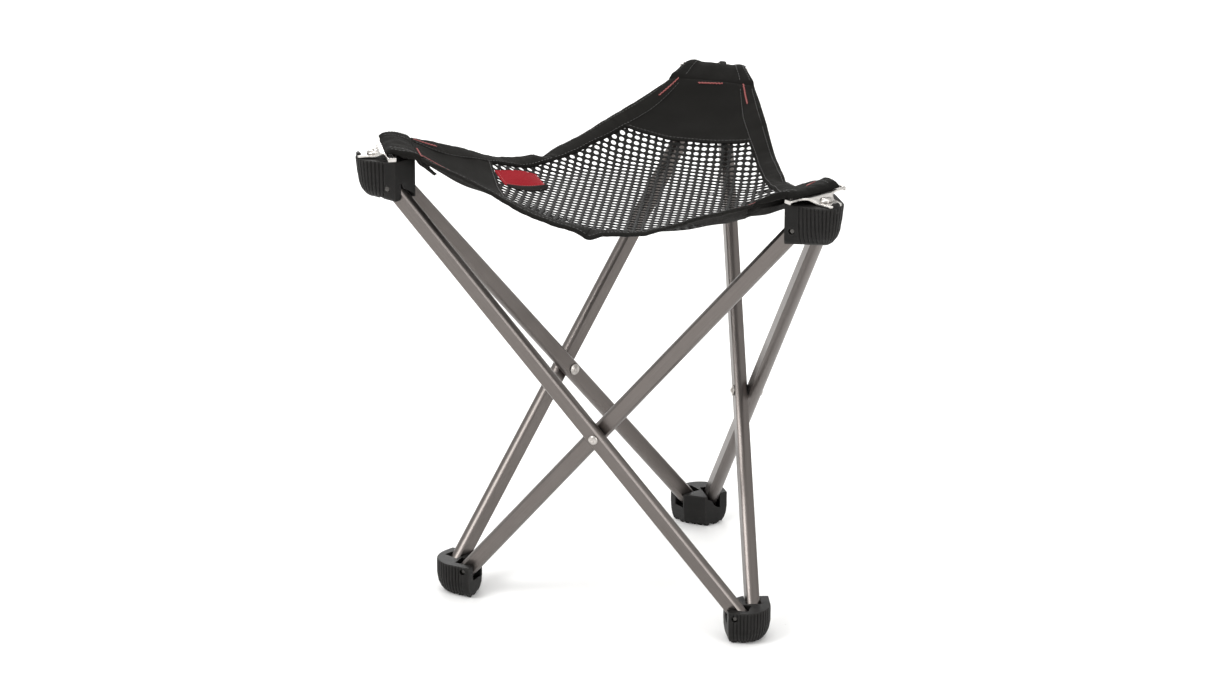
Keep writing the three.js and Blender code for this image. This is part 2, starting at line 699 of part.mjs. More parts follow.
// ---- materials ------------------------------------------------------------------------
const PLASTIC = { color: 0x262524, roughness: 0.55, metalness: 0.0 };
const TUBE = { color: 0x77706a, roughness: 0.34, metalness: 0.85 };
const STEEL = { color: 0xc8c0b8, roughness: 0.26, metalness: 1.0 };
const PIN = { color: 0x3a3836, roughness: 0.4, metalness: 0.9 };
const BRASS = { color: 0xb08d4a, roughness: 0.35, metalness: 1.0 };
const NYLON = { color: 0x1c1b1a, roughness: 0.5, metalness: 0.0 };
const MESH = { color: 0x232220, roughness: 0.85, metalness: 0.0 };
const WEB = { color: 0x2a2927, roughness: 0.8, metalness: 0.0 };
const TAB = { color: 0xaf232d, roughness: 0.75, metalness: 0.0 };

// ---- assembly -------------------------------------------------------------------------
function addPiece(parent, name, geometry, look) {
  const mesh = new THREE.Mesh(geometry, new THREE.MeshStandardMaterial(look));
  mesh.name = name;
  parent.add(mesh);
}

function addGroup(parent, { x = 0, y = 0, z = 0, turn = 0 }) {
  const child = new THREE.Group();
  child.position.set(x, y, z);
  child.rotation.z = turn;
  parent.add(child);
  return child;
}

function addCornerGroup(parent, radius, angle, z) {
  const x = radius * Math.cos(angle);
  const y = radius * Math.sin(angle);
  return addGroup(parent, { x, y, z, turn: angle });
}

function addPins(parent, prefix, joints, { outward, inward }) {
  for (const joint of joints) {
    addPiece(parent, `${prefix}_${joint.tube}`, pinRod(joint, outward, inward, PIN_R), PIN);
  }
}

function addSide(stool, name, turn) {
  const side = addGroup(stool, { turn });
  addPiece(side, `tube_${name}_outer`, tubeGeometry('outer'), TUBE);
  addPiece(side, `tube_${name}_inner`, tubeGeometry('inner'), TUBE);
  addPiece(side, `rivet_${name}`, turnedAtCrossing(RIVET_PROFILE), STEEL);
  addPiece(side, `rivet_washer_${name}`, turnedAtCrossing(WASHER_PROFILE), NYLON);
  const edge = addGroup(side, { z: PIVOT_RISE });
  addPiece(edge, `edge_binding_${name}`, bindingGeometry(), WEB);
}

function addCorner(stool, name, angle) {
  const hub = addCornerGroup(stool, HUB_CORNER_R, angle, PIVOT_RISE);
  addPiece(hub, `hub_${name}`, hubGeometry(), PLASTIC);
  addPins(hub, `hub_pin_${name}`, HUB_JOINTS, HUB_PIN);
  addPiece(hub, `hook_plate_${name}`, plateGeometry(), STEEL);
  addPiece(hub, `plate_screw_${name}`, screwGeometry(), STEEL);
  addPiece(hub, `threaded_insert_${name}`, insertGeometry(), BRASS);
  addPiece(hub, `webbing_head_${name}`, webbingGeometry(), WEB);

  const foot = addCornerGroup(stool, FOOT_CORNER_R, angle, 0);
  addPiece(foot, `foot_${name}`, footGeometry(), PLASTIC);
  addPins(foot, `foot_pin_${name}`, FOOT_JOINTS, FOOT_PIN);

  const sector = addGroup(stool, { z: PIVOT_RISE, turn: angle });
  addPiece(sector, `seat_panel_${name}`, panelGeometry(), MESH);
}

const SIDES = ['front', 'right', 'left'];
const CORNERS = ['left', 'right', 'back'];

const group = new THREE.Group();
const stool = addGroup(group, { x: AXIS_X, y: AXIS_Y, z: FOOT_PIVOT_Z });
for (let k = 0; k < 3; k++) {
  const turn = k * THIRD_TURN;
  addSide(stool, SIDES[k], turn);
  addCorner(stool, CORNERS[k], LEFT_ANGLE + turn);
}
addPiece(addGroup(stool, { z: PIVOT_RISE }), 'label_tab', tabGeometry(), TAB);

export default group;
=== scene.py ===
# A three-cornered folding stool. Each side is a pair of flat-sided tubes crossed at a rivet,
# pinned to plastic hubs at the top and plastic feet at the bottom. A sling seat hangs from
# the hubs. Z is up, the front side faces -Y, and the corners stand at the left, right and back.
import json
import math
from collections import namedtuple
import bmesh
import bpy
import numpy as np
from mathutils import Matrix, Vector


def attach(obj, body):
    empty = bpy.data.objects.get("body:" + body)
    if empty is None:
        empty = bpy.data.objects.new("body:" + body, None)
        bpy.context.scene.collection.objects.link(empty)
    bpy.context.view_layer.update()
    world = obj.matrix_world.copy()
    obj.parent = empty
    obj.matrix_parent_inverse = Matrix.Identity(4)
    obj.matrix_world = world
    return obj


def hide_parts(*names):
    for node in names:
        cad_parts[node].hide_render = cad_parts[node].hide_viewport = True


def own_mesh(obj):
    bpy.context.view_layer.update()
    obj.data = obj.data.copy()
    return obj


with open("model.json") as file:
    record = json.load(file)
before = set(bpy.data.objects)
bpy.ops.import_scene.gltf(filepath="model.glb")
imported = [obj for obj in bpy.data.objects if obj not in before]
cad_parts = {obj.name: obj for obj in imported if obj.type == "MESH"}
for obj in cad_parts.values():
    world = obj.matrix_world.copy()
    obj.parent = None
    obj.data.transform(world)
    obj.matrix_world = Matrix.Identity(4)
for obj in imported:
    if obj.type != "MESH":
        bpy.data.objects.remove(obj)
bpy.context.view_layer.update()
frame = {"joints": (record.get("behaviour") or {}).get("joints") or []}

MM = 0.001                      # shapes are drawn in millimetres and placed in metres

# ---- frame dimensions, mm --------------------------------------------------------------
HALF_TOP = 190.0                # half the distance between a side's top pivots
HALF_BOTTOM = 134.6             # the same at the bottom
SETBACK = 23.0                  # from a pivot to the corner, along the side
RISE = 382.9                    # height between the bottom and top pivots
SWING_ABOVE_PIVOTS = 24.0       # the seat's swing joints, above the top pivots
LAYER = 13.4                    # between the centre planes of two crossing tubes
TUBE_WIDTH = 16.2
TUBE_THICK = 12.0
WALL = 1.2
OVERHANG = 8.0                  # tube beyond each pivot
CHAMFER = 0.35                  # at the tube's ends
RIVET_AT = 294.4                # from the top pivot, along the tube

COS_30 = math.cos(math.pi / 6)
TOP_RADIUS = (HALF_TOP + SETBACK) / COS_30          # of the corners, from the axis
BOTTOM_RADIUS = (HALF_BOTTOM + SETBACK) / COS_30
TOP_SIDE = TOP_RADIUS / 2                           # of the sides, from the axis
BOTTOM_SIDE = BOTTOM_RADIUS / 2
LEAN = math.atan2(TOP_SIDE - BOTTOM_SIDE, RISE)
FAN = math.atan2(TOP_SIDE - BOTTOM_SIDE, HALF_TOP + HALF_BOTTOM)
RUN = math.hypot(HALF_TOP + HALF_BOTTOM, TOP_SIDE - BOTTOM_SIDE)
TUBE_LENGTH = math.hypot(RUN, RISE)                 # pivot to pivot
SIDE_NORMAL = Vector((0, -math.cos(LEAN), -math.sin(LEAN)))     # out of the front side

CORNERS = ["left", "right", "back"]
SIDES = ["front", "right", "left"]
CORNER_ANGLES = [math.radians(210 + 120 * i) for i in range(3)]

# The three-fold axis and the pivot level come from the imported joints.
swings = [joint["pos_m"] for joint in frame["joints"] if joint["name"].startswith("seat_swing_")]
AXIS_X, AXIS_Y, SWING_Z = [sum(place[i] for place in swings) / 3 / MM for i in range(3)]
ORIGIN = Vector((AXIS_X, AXIS_Y, SWING_Z - SWING_ABOVE_PIVOTS - RISE))


def turn(angle):
    return Matrix.Rotation(angle, 4, "Z")


def move(x, y, z):
    return Matrix.Translation((x, y, z))


def corner_place(angle, radius, z):
    """A corner's frame: X away from the axis, Z up."""
    return BASE @ move(radius * math.cos(angle), radius * math.sin(angle), z) @ turn(angle)


BASE = Matrix.Translation(ORIGIN)
SIDE_PLACES = [BASE @ turn(2 * math.pi * i / 3) for i in range(3)]
HUB_PLACES = [corner_place(angle, TOP_RADIUS, RISE) for angle in CORNER_ANGLES]
FOOT_PLACES = [corner_place(angle, BOTTOM_RADIUS, 0) for angle in CORNER_ANGLES]
SEAT_PLACE = BASE @ move(0, 0, RISE)


def turned(x, y, angle):
    """The coordinates of a point in axes turned by the angle."""
    cos, sin = math.cos(angle), math.sin(angle)
    return x * cos + y * sin, -x * sin + y * cos


def clamp01(value):
    return max(0.0, min(1.0, value))


def ease(t, scale=1):
    """A smooth step from 0 to scale as t goes from 0 to 1."""
    return scale * t * t * (3 - 2 * t)


def bell(value, centre, width):
    return np.exp(-((value - centre) / width) ** 2)


# ---- mesh building -----------------------------------------------------------------------
# A shape is a pair of lists, vertices and faces.
def shade(mesh, angle):
    """Smooth shading, with edges steeper than the angle (degrees) kept sharp."""
    mesh.shade_smooth()
    mesh.set_sharp_from_angle(angle=math.radians(angle))


def part(name, shape, place, material, body, replaces=None, uv=None, angle=35):
    """A finished object from a shape in local millimetres."""
    verts, faces = shape
    points = np.array(verts, float).reshape(-1, 3)
    matrix = np.array(place)
    points = (points @ matrix[:3, :3].T + matrix[:3, 3]) * MM
    mesh = bpy.data.meshes.new(name)
    mesh.from_pydata(points.tolist(), [], [list(face) for face in faces])
    mesh.update()
    if uv is not None:
        layer = mesh.uv_layers.new(name="UVMap")
        corners = np.zeros(len(mesh.loops), np.int64)
        mesh.loops.foreach_get("vertex_index", corners)
        layer.data.foreach_set("uv", np.array(uv, np.float32)[corners].ravel())
    shade(mesh, angle)
    ob = bpy.data.objects.new(name, mesh)
    bpy.context.scene.collection.objects.link(ob)
    mesh.materials.append(material)
    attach(ob, body)
    if replaces:
        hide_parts(replaces)
    return ob


def working_object(name, shape):
    verts, faces = shape
    mesh = bpy.data.meshes.new(name)
    mesh.from_pydata([tuple(point) for point in verts], [], [list(face) for face in faces])
    mesh.update()
    ob = bpy.data.objects.new(name, mesh)
    bpy.context.scene.collection.objects.link(ob)
    return ob


def face_outward(ob):
    bm = bmesh.new()
    bm.from_mesh(ob.data)
    bmesh.ops.recalc_face_normals(bm, faces=bm.faces)
    bm.to_mesh(ob.data)
    bm.free()


def face_outward_and_shade(ob, angle):
    face_outward(ob)
    shade(ob.data, angle)


def working_solid(name, shape):
    ob = working_object(name, shape)
    face_outward(ob)
    return ob


def apply_modifiers(ob):
    depsgraph = bpy.context.evaluated_depsgraph_get()
    mesh = bpy.data.meshes.new_from_object(ob.evaluated_get(depsgraph))
    ob.modifiers.clear()
    old = ob.data
    ob.data = mesh
    bpy.data.meshes.remove(old)


def modify(ob, kind, **settings):
    modifier = ob.modifiers.new(kind.lower(), kind)
    for key, value in settings.items():
        setattr(modifier, key, value)
    bpy.context.view_layer.objects.active = ob
    apply_modifiers(ob)


def cut(ob, shape, operation="DIFFERENCE"):
    """Cut a shape out of the object, or join it on."""
    cutter = working_solid("cutter", shape)
    modifier = ob.modifiers.new("cut", "BOOLEAN")
    modifier.operation = operation
    modifier.object = cutter
    modifier.solver = "EXACT"
    apply_modifiers(ob)
    bpy.data.objects.remove(cutter)


def round_over(ob, voxel, passes, keep):
    """Soften every edge: remesh, smooth, then keep a share of the faces."""
    modify(ob, "REMESH", mode="VOXEL", voxel_size=voxel, adaptivity=0.0)
    modify(ob, "SMOOTH", factor=0.5, iterations=passes)
    modify(ob, "DECIMATE", ratio=keep)


def vertex_places(mesh):
    flat = np.zeros(len(mesh.vertices) * 3)
    mesh.vertices.foreach_get("co", flat)
    return flat.reshape(-1, 3)


def take(ob):
    """The shape of a working object, which is then removed."""
    mesh = ob.data
    verts = vertex_places(mesh)
    faces = [tuple(polygon.vertices) for polygon in mesh.polygons]
    bpy.data.objects.remove(ob)
    bpy.data.meshes.remove(mesh)
    return verts, faces


def circle(radius, z, count):
    return [
        (
            radius * math.cos(2 * math.pi * i / count),
            radius * math.sin(2 * math.pi * i / count),
            z,
        )
        for i in range(count)
    ]


def loft_walls(rings):
    count = len(rings[0])
    verts = [point for ring in rings for point in ring]
    faces = []
    for k in range(len(rings) - 1):
        for i in range(count):
            a, b = k * count + i, k * count + (i + 1) % count
            faces.append((a, b, b + count, a + count))
    return verts, faces


def loft(rings):
    """A solid through the rings, capped at both ends."""
    verts, faces = loft_walls(rings)
    count = len(rings[0])
    faces.append(tuple(reversed(range(count))))
    faces.append(tuple(range((len(rings) - 1) * count, len(rings) * count)))
    return verts, faces


def loft_loop(rings):
    """A hollow solid: the last ring joins back to the first."""
    verts, faces = loft_walls(rings)
    count = len(rings[0])
    last = (len(rings) - 1) * count
    for i in range(count):
        after = (i + 1) % count
        faces.append((last + i, last + after, after, i))
    return verts, faces


def lathe(profile, count):
    """A turned solid about Z; the (radius, z) profile starts and ends on the axis."""
    verts, faces, rows = [], [], []
    for radius, z in profile:
        points = [(0, 0, z)] if radius < 1e-6 else circle(radius, z, count)
        rows.append(range(len(verts), len(verts) + len(points)))
        verts += points
    for low, high in zip(rows, rows[1:]):
        for i in range(count):
            j = (i + 1) % count
            if len(low) == 1:
                faces.append((low[0], high[j], high[i]))
            elif len(high) == 1:
                faces.append((low[i], low[j], high[0]))
            else:
                faces.append((low[i], low[j], high[j], high[i]))
    return verts, faces


def aim(direction, origin):
    """A frame at the origin with Z along the direction."""
    z = Vector(direction).normalized()
    x = Vector((1, 0, 0)) if abs(z.x) < 0.9 else Vector((0, 1, 0))
    y = z.cross(x).normalized()
    x = y.cross(z).normalized()
    matrix = Matrix((x, y, z)).transposed().to_4x4()
    matrix.translation = Vector(origin)
    return matrix


def rod(start, end, radius, count=28):
    start, end = Vector(start), Vector(end)
    place = aim(end - start, start)
    length = (end - start).length
    return loft([[place @ Vector(p) for p in circle(radius, z, count)] for z in (0, length)])


def box(x0, x1, y0, y1, z0, z1):
    return loft([[(x0, y0, z), (x1, y0, z), (x1, y1, z), (x0, y1, z)] for z in (z0, z1)])


# ---- materials ---------------------------------------------------------------------------
class Shader:
    """Short calls for building a material's node tree."""

    def __init__(self, name):
        self.material = bpy.data.materials.new(name)
        self.material.use_nodes = True
        self.tree = self.material.node_tree
        self.surface = self.tree.nodes["Principled BSDF"]

    def node(self, kind):
        return self.tree.nodes.new(kind)

    def feed(self, socket, value):
        """Link an output, or set a number or an RGB colour."""
        if isinstance(value, bpy.types.NodeSocket):
            self.tree.links.new(value, socket)
        elif isinstance(value, (int, float)):
            socket.default_value = value
        else:
            socket.default_value = (*value, 1)

    def set(self, **values):
        """Feed the surface's inputs; an underscore in a key stands for a space."""
        for key, value in values.items():
            self.feed(self.surface.inputs[key.replace("_", " ")], value)

    def coords(self, source, scale=(1, 1, 1), rotation=(0, 0, 0)):
        mapping = self.node("ShaderNodeMapping")
        mapping.inputs["Scale"].default_value = scale
        mapping.inputs["Rotation"].default_value = rotation
        texture = self.node("ShaderNodeTexCoord")
        self.feed(mapping.inputs["Vector"], texture.outputs[source])
        return mapping.outputs["Vector"]

    def noise(self, vector, scale, detail=4, roughness=0.55):
        node = self.node("ShaderNodeTexNoise")
        self.feed(node.inputs["Scale"], scale)
        self.feed(node.inputs["Detail"], detail)
        self.feed(node.inputs["Roughness"], roughness)
        self.feed(node.inputs["Vector"], vector)
        return node.outputs["Fac"]

    def ramp(self, factor, *stops):
        """A colour ramp from (position, colour) stops."""
        node = self.node("ShaderNodeValToRGB")
        elements = node.color_ramp.elements
        while len(elements) < len(stops):
            elements.new(0.5)
        for element, (position, colour) in zip(elements, stops):
            element.position = position
            element.color = (*colour, 1)
        self.feed(node.inputs["Fac"], factor)
        return node.outputs["Color"]

    def math(self, operation, a, b=None):
        node = self.node("ShaderNodeMath")
        node.operation = operation
        self.feed(node.inputs[0], a)
        if b is not None:
            self.feed(node.inputs[1], b)
        return node.outputs[0]

    def times(self, a, b):
        return self.math("MULTIPLY", a, b)

    def plus(self, a, b):
        return self.math("ADD", a, b)

    def mix(self, factor, a, b):
        """Blend colours; the node's colour sockets are inputs 6 and 7 and output 2."""
        node = self.node("ShaderNodeMix")
        node.data_type = "RGBA"
        self.feed(node.inputs[0], factor)
        self.feed(node.inputs[6], a)
        self.feed(node.inputs[7], b)
        return node.outputs[2]

    def bump(self, height, strength, distance):
        node = self.node("ShaderNodeBump")
        self.feed(node.inputs["Strength"], strength)
        self.feed(node.inputs["Distance"], distance)
        self.feed(node.inputs["Height"], height)
        return node.outputs["Normal"]


def tube_metal():
    """Dark metal with fine draw lines: noise stretched along V, which runs along the tube."""
    m = Shader("anodised_tube")
    streak = m.noise(m.coords("UV", scale=(3.2, 0.018, 1)), scale=1.0, detail=6, roughness=0.7)
    fine = m.noise(m.coords("UV", scale=(9.0, 0.05, 1)), scale=1.0, detail=3, roughness=0.6)
    cloud = m.noise(m.coords("Object"), scale=26.0, detail=3, roughness=0.5)
    colour = m.ramp(streak, (0.25, (0.104, 0.092, 0.086)), (0.75, (0.172, 0.155, 0.146)))
    m.set(
        Base_Color=m.mix(factor=m.times(cloud, 0.28), a=colour, b=(0.20, 0.18, 0.168)),
        Roughness=m.plus(m.times(fine, 0.16), 0.235),
        Metallic=0.94,
        Anisotropic=0.45,
        Normal=m.bump(streak, strength=0.12, distance=0.00012),
    )
    return m.material


def plastic(name):
    """Near-black moulded plastic, finely grained and paler along its edges."""
    m = Shader(name)
    local = m.coords("Object")
    grain = m.noise(local, scale=2600, detail=3, roughness=0.6)
    cloud = m.noise(local, scale=60)
    pointiness = m.node("ShaderNodeNewGeometry").outputs["Pointiness"]
    edge = m.ramp(pointiness, (0.49, (0, 0, 0)), (0.56, (1, 1, 1)))
    base = m.ramp(cloud, (0.3, (0.0048, 0.0046, 0.0044)), (0.75, (0.0085, 0.0081, 0.0077)))
    m.set(
        Base_Color=m.mix(factor=m.times(edge, 0.5), a=base, b=(0.042, 0.04, 0.038)),
        Roughness=m.plus(m.times(grain, 0.22), 0.36),
        Normal=m.bump(grain, strength=0.22, distance=0.00012),
        Specular_IOR_Level=0.13,
    )
    return m.material


def brushed_metal(name, dark, light, rough, scratch, anisotropic=0.0):
    m = Shader(name)
    stretched = m.coords("Object", scale=(900, 60, 300), rotation=(0.2, 0.1, 0.9))
    brushed = m.noise(stretched, scale=1.0, detail=4, roughness=0.6)
    cloud = m.noise(m.coords("Object"), scale=90)
    m.set(
        Base_Color=m.ramp(cloud, (0.3, dark), (0.72, light)),
        Roughness=m.plus(m.times(brushed, scratch), rough),
        Metallic=1.0,
        Anisotropic=anisotropic,
        Normal=m.bump(brushed, strength=0.10, distance=0.00008),
    )
    return m.material


def woven(name, dark, light, pitch=0.55, sheen=0.35, twill=False, depth=0.00022, clouding=0.5):
    """Cloth in UV millimetres: warp and weft threads passing over and under each other."""
    m = Shader(name)
    separate = m.node("ShaderNodeSeparateXYZ")
    m.feed(separate.inputs[0], m.coords("UV"))
    wander = m.noise(m.coords("UV", scale=(0.25, 0.25, 1)), scale=1.0, detail=2, roughness=0.5)
    per_mm = 1.0 / pitch * math.pi
    u = m.plus(m.times(separate.outputs["X"], per_mm), m.times(wander, 1.1))
    v = m.plus(m.times(separate.outputs["Y"], per_mm), m.times(wander, 0.9))
    if twill:
        pattern = m.math("SINE", m.times(m.plus(u, v), 1.0))
    else:
        pattern = m.times(m.math("SINE", u), m.math("SINE", v))
    warp_on_top = m.math("GREATER_THAN", pattern, 0.0)
    warp = m.times(warp_on_top, m.math("ABSOLUTE", m.math("SINE", u)))
    weft_on_top = m.math("SUBTRACT", 1.0, warp_on_top)
    weft = m.times(weft_on_top, m.math("ABSOLUTE", m.math("SINE", v)))
    fibre = m.noise(m.coords("UV", scale=(6, 6, 1)), scale=1.0, detail=3, roughness=0.7)
    height = m.plus(m.plus(warp, weft), m.times(fibre, 0.35))
    cloud = m.noise(m.coords("Object"), scale=42, detail=4, roughness=0.6)
    shadow = [channel * 0.45 for channel in dark]
    # the colour follows the weave's height: the shadow tone in its low points is painted shade,
    # and the light tone on the thread crowns is a painted highlight
    colour = m.ramp(height, (0.15, shadow), (0.55, dark), (1.0, light))
    m.set(
        Base_Color=m.mix(factor=m.times(cloud, clouding), a=colour, b=light),
        Roughness=0.82,
        Sheen_Weight=sheen,
        Sheen_Roughness=0.45,
        Sheen_Tint=(0.75, 0.72, 0.68),
        Specular_IOR_Level=0.06,
        Normal=m.bump(height, strength=0.55, distance=depth),
    )
    return m.material


def coated_yarn():
    """The open mesh: dark twisted strands with a slight gloss."""
    m = Shader("seat_mesh_yarn")
    local = m.coords("Object")
    twist = m.node("ShaderNodeTexWave")
    m.feed(twist.inputs["Scale"], 520)
    m.feed(twist.inputs["Distortion"], 2.2)
    m.feed(twist.inputs["Detail"], 2)
    slanted = m.coords("Object", scale=(1, 1.0, 0.6), rotation=(0.3, 0.2, 0.75))
    m.feed(twist.inputs["Vector"], slanted)
    fibre = m.noise(local, scale=1800, detail=3, roughness=0.6)
    height = m.plus(m.times(twist.outputs["Fac"], 0.6), m.times(fibre, 0.5))
    cloud = m.noise(local, scale=35, detail=3, roughness=0.5)
    # the strands' colour follows their height: painted shade darkens the twist's grooves and a
    # painted highlight lightens its ridges, while the fibre noise adds the yarn's own uneven tone
    colour = m.ramp(height, (0.2, (0.0026, 0.0025, 0.0024)), (0.9, (0.0085, 0.0081, 0.0076)))
    m.set(
        Base_Color=m.mix(factor=m.times(cloud, 0.3), a=colour, b=(0.010, 0.0096, 0.009)),
        Roughness=0.62,
        Specular_IOR_Level=0.08,
        Sheen_Weight=0.03,
        Normal=m.bump(height, strength=0.5, distance=0.0002),
    )
    return m.material


def thread(name, dark, light):
    m = Shader(name)
    twist = m.noise(m.coords("Object"), scale=2400, detail=2, roughness=0.6)
    cloud = m.noise(m.coords("Object"), scale=160, detail=3, roughness=0.6)
    colour = m.mix(factor=cloud, a=dark, b=light)
    shadow = [channel * 0.5 for channel in dark]
    m.set(
        Base_Color=m.mix(factor=m.times(twist, 0.4), a=colour, b=shadow),
        Roughness=0.6,
        Sheen_Weight=0.3,
        Normal=m.bump(twist, strength=0.4, distance=0.0001),
    )
    return m.material


TUBE_METAL = tube_metal()
BLACK_PLASTIC = plastic("black_plastic")
NICKEL = brushed_metal(
    "nickel_plate", dark=(0.46, 0.44, 0.42), light=(0.64, 0.62, 0.595),
    rough=0.19, scratch=0.12, anisotropic=0.3,
)
ZINC = brushed_metal(
    "zinc_screw", dark=(0.42, 0.40, 0.38), light=(0.60, 0.575, 0.55), rough=0.22, scratch=0.10,
)
RIVET_METAL = brushed_metal(
    "plated_rivet", dark=(0.34, 0.32, 0.30), light=(0.52, 0.49, 0.465), rough=0.24, scratch=0.12,
)
PIN_METAL = brushed_metal(
    "dark_pin", dark=(0.05, 0.048, 0.046), light=(0.12, 0.115, 0.11), rough=0.35, scratch=0.14,
)
BRASS = brushed_metal(
    "turned_brass", dark=(0.55, 0.40, 0.18), light=(0.72, 0.55, 0.28), rough=0.28, scratch=0.12,
)
NYLON = plastic("nylon_washer")
YARN = coated_yarn()
POCKET_CLOTH = woven(
    "pocket_polyester", dark=(0.0040, 0.0038, 0.0035), light=(0.0100, 0.0096, 0.0088),
    pitch=0.6, sheen=0.025,
)
TAPE = woven(
    "binding_tape", dark=(0.0034, 0.0033, 0.0030), light=(0.0108, 0.0103, 0.0094),
    pitch=0.9, sheen=0.03, twill=True, depth=0.0003,
)
WEBBING = woven(
    "corner_webbing", dark=(0.0040, 0.0038, 0.0035), light=(0.0100, 0.0096, 0.0088),
    pitch=0.6, sheen=0.025,
)
DARK_THREAD = thread("dark_thread", dark=(0.013, 0.0125, 0.012), light=(0.032, 0.0305, 0.029))
RED_THREAD = thread("red_thread", dark=(0.23, 0.022, 0.022), light=(0.42, 0.085, 0.075))
RED_CLOTH = woven(
    "red_tab", dark=(0.17, 0.004, 0.009), light=(0.29, 0.012, 0.020),
    pitch=0.5, sheen=0.08, depth=0.00016, clouding=0.35,
)
LINING_CLOTH = woven(
    "tab_lining", dark=(0.008, 0.0072, 0.007), light=(0.02, 0.017, 0.016), pitch=0.5, sheen=0.04,
)


# ---- tubes and rivets ----------------------------------------------------------------------
def side_pivots(outer):
    """The top and bottom pivots of a front-side tube."""
    side = -1 if outer else 1
    layer = SIDE_NORMAL * (LAYER / 2 if outer else -LAYER / 2)
    top = Vector((side * HALF_TOP, -TOP_SIDE, RISE)) + layer
    bottom = Vector((-side * HALF_BOTTOM, -BOTTOM_SIDE, 0)) + layer
    return top, bottom


def tube_section(width, thick, arc=14, flat=4):
    """Round ends and flat faces, the flats standing slightly proud of the arcs."""
    proud = 0.02
    radius = width / 2
    reach = math.asin((thick / 2 - proud) / radius)
    points = []
    for middle in (0, math.pi):
        for i in range(arc + 1):
            angle = middle - reach + 2 * reach * i / arc
            points.append((radius * math.cos(angle), radius * math.sin(angle)))
        x, y = points[-1]
        for i in range(1, flat):
            points.append((x + (-x - x) * i / flat, y + (proud if y > 0 else -proud)))
    return points


def build_tube(side, outer):
    top, bottom = side_pivots(outer)
    along = (bottom - top).normalized()
    across = SIDE_NORMAL.cross(along).normalized()
    place = Matrix((across, SIDE_NORMAL, along)).transposed().to_4x4()
    place.translation = top
    outside = tube_section(TUBE_WIDTH, TUBE_THICK)
    inside = tube_section(TUBE_WIDTH - 2 * WALL, TUBE_THICK - 2 * WALL)
    shrink_x = 1 - CHAMFER / (TUBE_WIDTH / 2)
    shrink_y = 1 - CHAMFER / (TUBE_THICK / 2)
    chamfered = [(x * shrink_x, y * shrink_y) for x, y in outside]
    start, end = -OVERHANG, TUBE_LENGTH + OVERHANG
    # along the outside and back along the bore
    stations = [
        (chamfered, start),
        (outside, start + CHAMFER),
        *[(outside, start + (end - start) * i / 24) for i in range(1, 24)],
        (outside, end - CHAMFER),
        (chamfered, end),
        (inside, end),
        (inside, start),
    ]
    around = [0.0]
    for a, b in zip(outside, outside[1:]):
        around.append(around[-1] + math.dist(a, b))
    rings = [[(x, y, z) for x, y in section] for section, z in stations]
    uv = [(run, z) for _, z in stations for run in around]
    name = f"tube_{SIDES[side]}_{'outer' if outer else 'inner'}"
    ob = part(
        name + "_drawn", loft_loop(rings), SIDE_PLACES[side] @ place, TUBE_METAL,
        name, name, uv=uv, angle=28,
    )
    face_outward_and_shade(ob, 28)


def rivet_shape():
    """A shank with a domed, dimpled head outside and a rolled collar inside."""
    reach = LAYER / 2 + TUBE_THICK / 2
    front, back = reach + 0.12, -reach - 0.4
    profile = [
        (0, back - 2.5), (1.7, back - 2.5), (2.0, back - 2.3), (2.15, back - 1.5),
        (2.7, back - 1.25), (4.8, back - 1.0), (5.15, back - 0.75), (5.2, back - 0.2),
        (5.1, back), (2.9, back), (2.9, front), (4.45, front), (4.6, front + 0.2),
        (4.55, front + 0.6), (4.3, front + 1.05), (3.8, front + 1.5), (3.1, front + 1.9),
        (2.3, front + 2.15), (1.75, front + 2.2), (1.5, front + 2.05), (1.2, front + 1.6),
        (0, front + 1.5),
    ]
    return lathe(profile, 48)


def washer_shape():
    """A flat ring against the inner face of the outer tube."""
    face = LAYER / 2 - TUBE_THICK / 2
    profile = [
        (3.2, face - 0.9), (5.5, face - 0.9), (5.6, face - 0.8),
        (5.6, face - 0.2), (5.5, face - 0.12), (3.2, face - 0.12),
    ]
    return loft_loop([circle(radius, z, 40) for radius, z in profile])


def build_rivets():
    rivet, washer = rivet_shape(), washer_shape()
    top, bottom = side_pivots(True)
    along = (bottom - top).normalized()
    crossing = aim(SIDE_NORMAL, top + along * RIVET_AT - SIDE_NORMAL * (LAYER / 2))
    for side, side_place in zip(SIDES, SIDE_PLACES):
        place = side_place @ crossing
        body = f"tube_{side}_outer"
        name = f"rivet_{side}"
        part(name + "_domed", rivet, place, RIVET_METAL, body, name, angle=40)
        name = f"rivet_washer_{side}"
        face_outward(part(name + "_turned", washer, place, NYLON, body, name))


# ---- hubs and feet -------------------------------------------------------------------------
# Both are drawn in the corner's frame, with X away from the axis.
RIB_DEPTH = 1.5
RIB_STEPS = 12                  # outline points to a rib
CHEEK_RIBS = 5
BORE_RADIUS = 2.85              # the bores across the slots, for the pins
SCREW_XY = (-1.7, 7.4)
BLOCK_VOXEL = 0.42
PLATE_VOXEL = 0.26

# tube: which tube lies in the slot; heading: along the slot; out: square to it, through its cheek
Slot = namedtuple("Slot", "tube pivot heading out")
# centre and radius: of the round nose; arm: how far the cheeks run along the slots;
# pin_out and pin_in: reach of the pins from the pivot; bore_in: how deep the bore goes inwards
Block = namedtuple(
    "Block", "centre radius arm half_angle ribs slots pin_out pin_in bore_in opens_up"
)


def tube_slots(end, corner_radius, level, half_angle):
    """The slots on a block's +Y and -Y sides; end is 0 at the top and 1 at the bottom."""
    slots = []
    cos, sin = math.cos(half_angle), math.sin(half_angle)
    for side, corner_angle, outer in ((1, 210, end == 0), (-1, -30, end == 1)):
        pivot = side_pivots(outer)[end]
        x, y = turned(pivot.x, pivot.y, math.radians(corner_angle))
        place = (x - corner_radius, y, pivot.z - level)
        tube = "outer" if outer else "inner"
        slots.append(Slot(tube, place, (-cos, side * sin), (sin, side * cos)))
    return slots


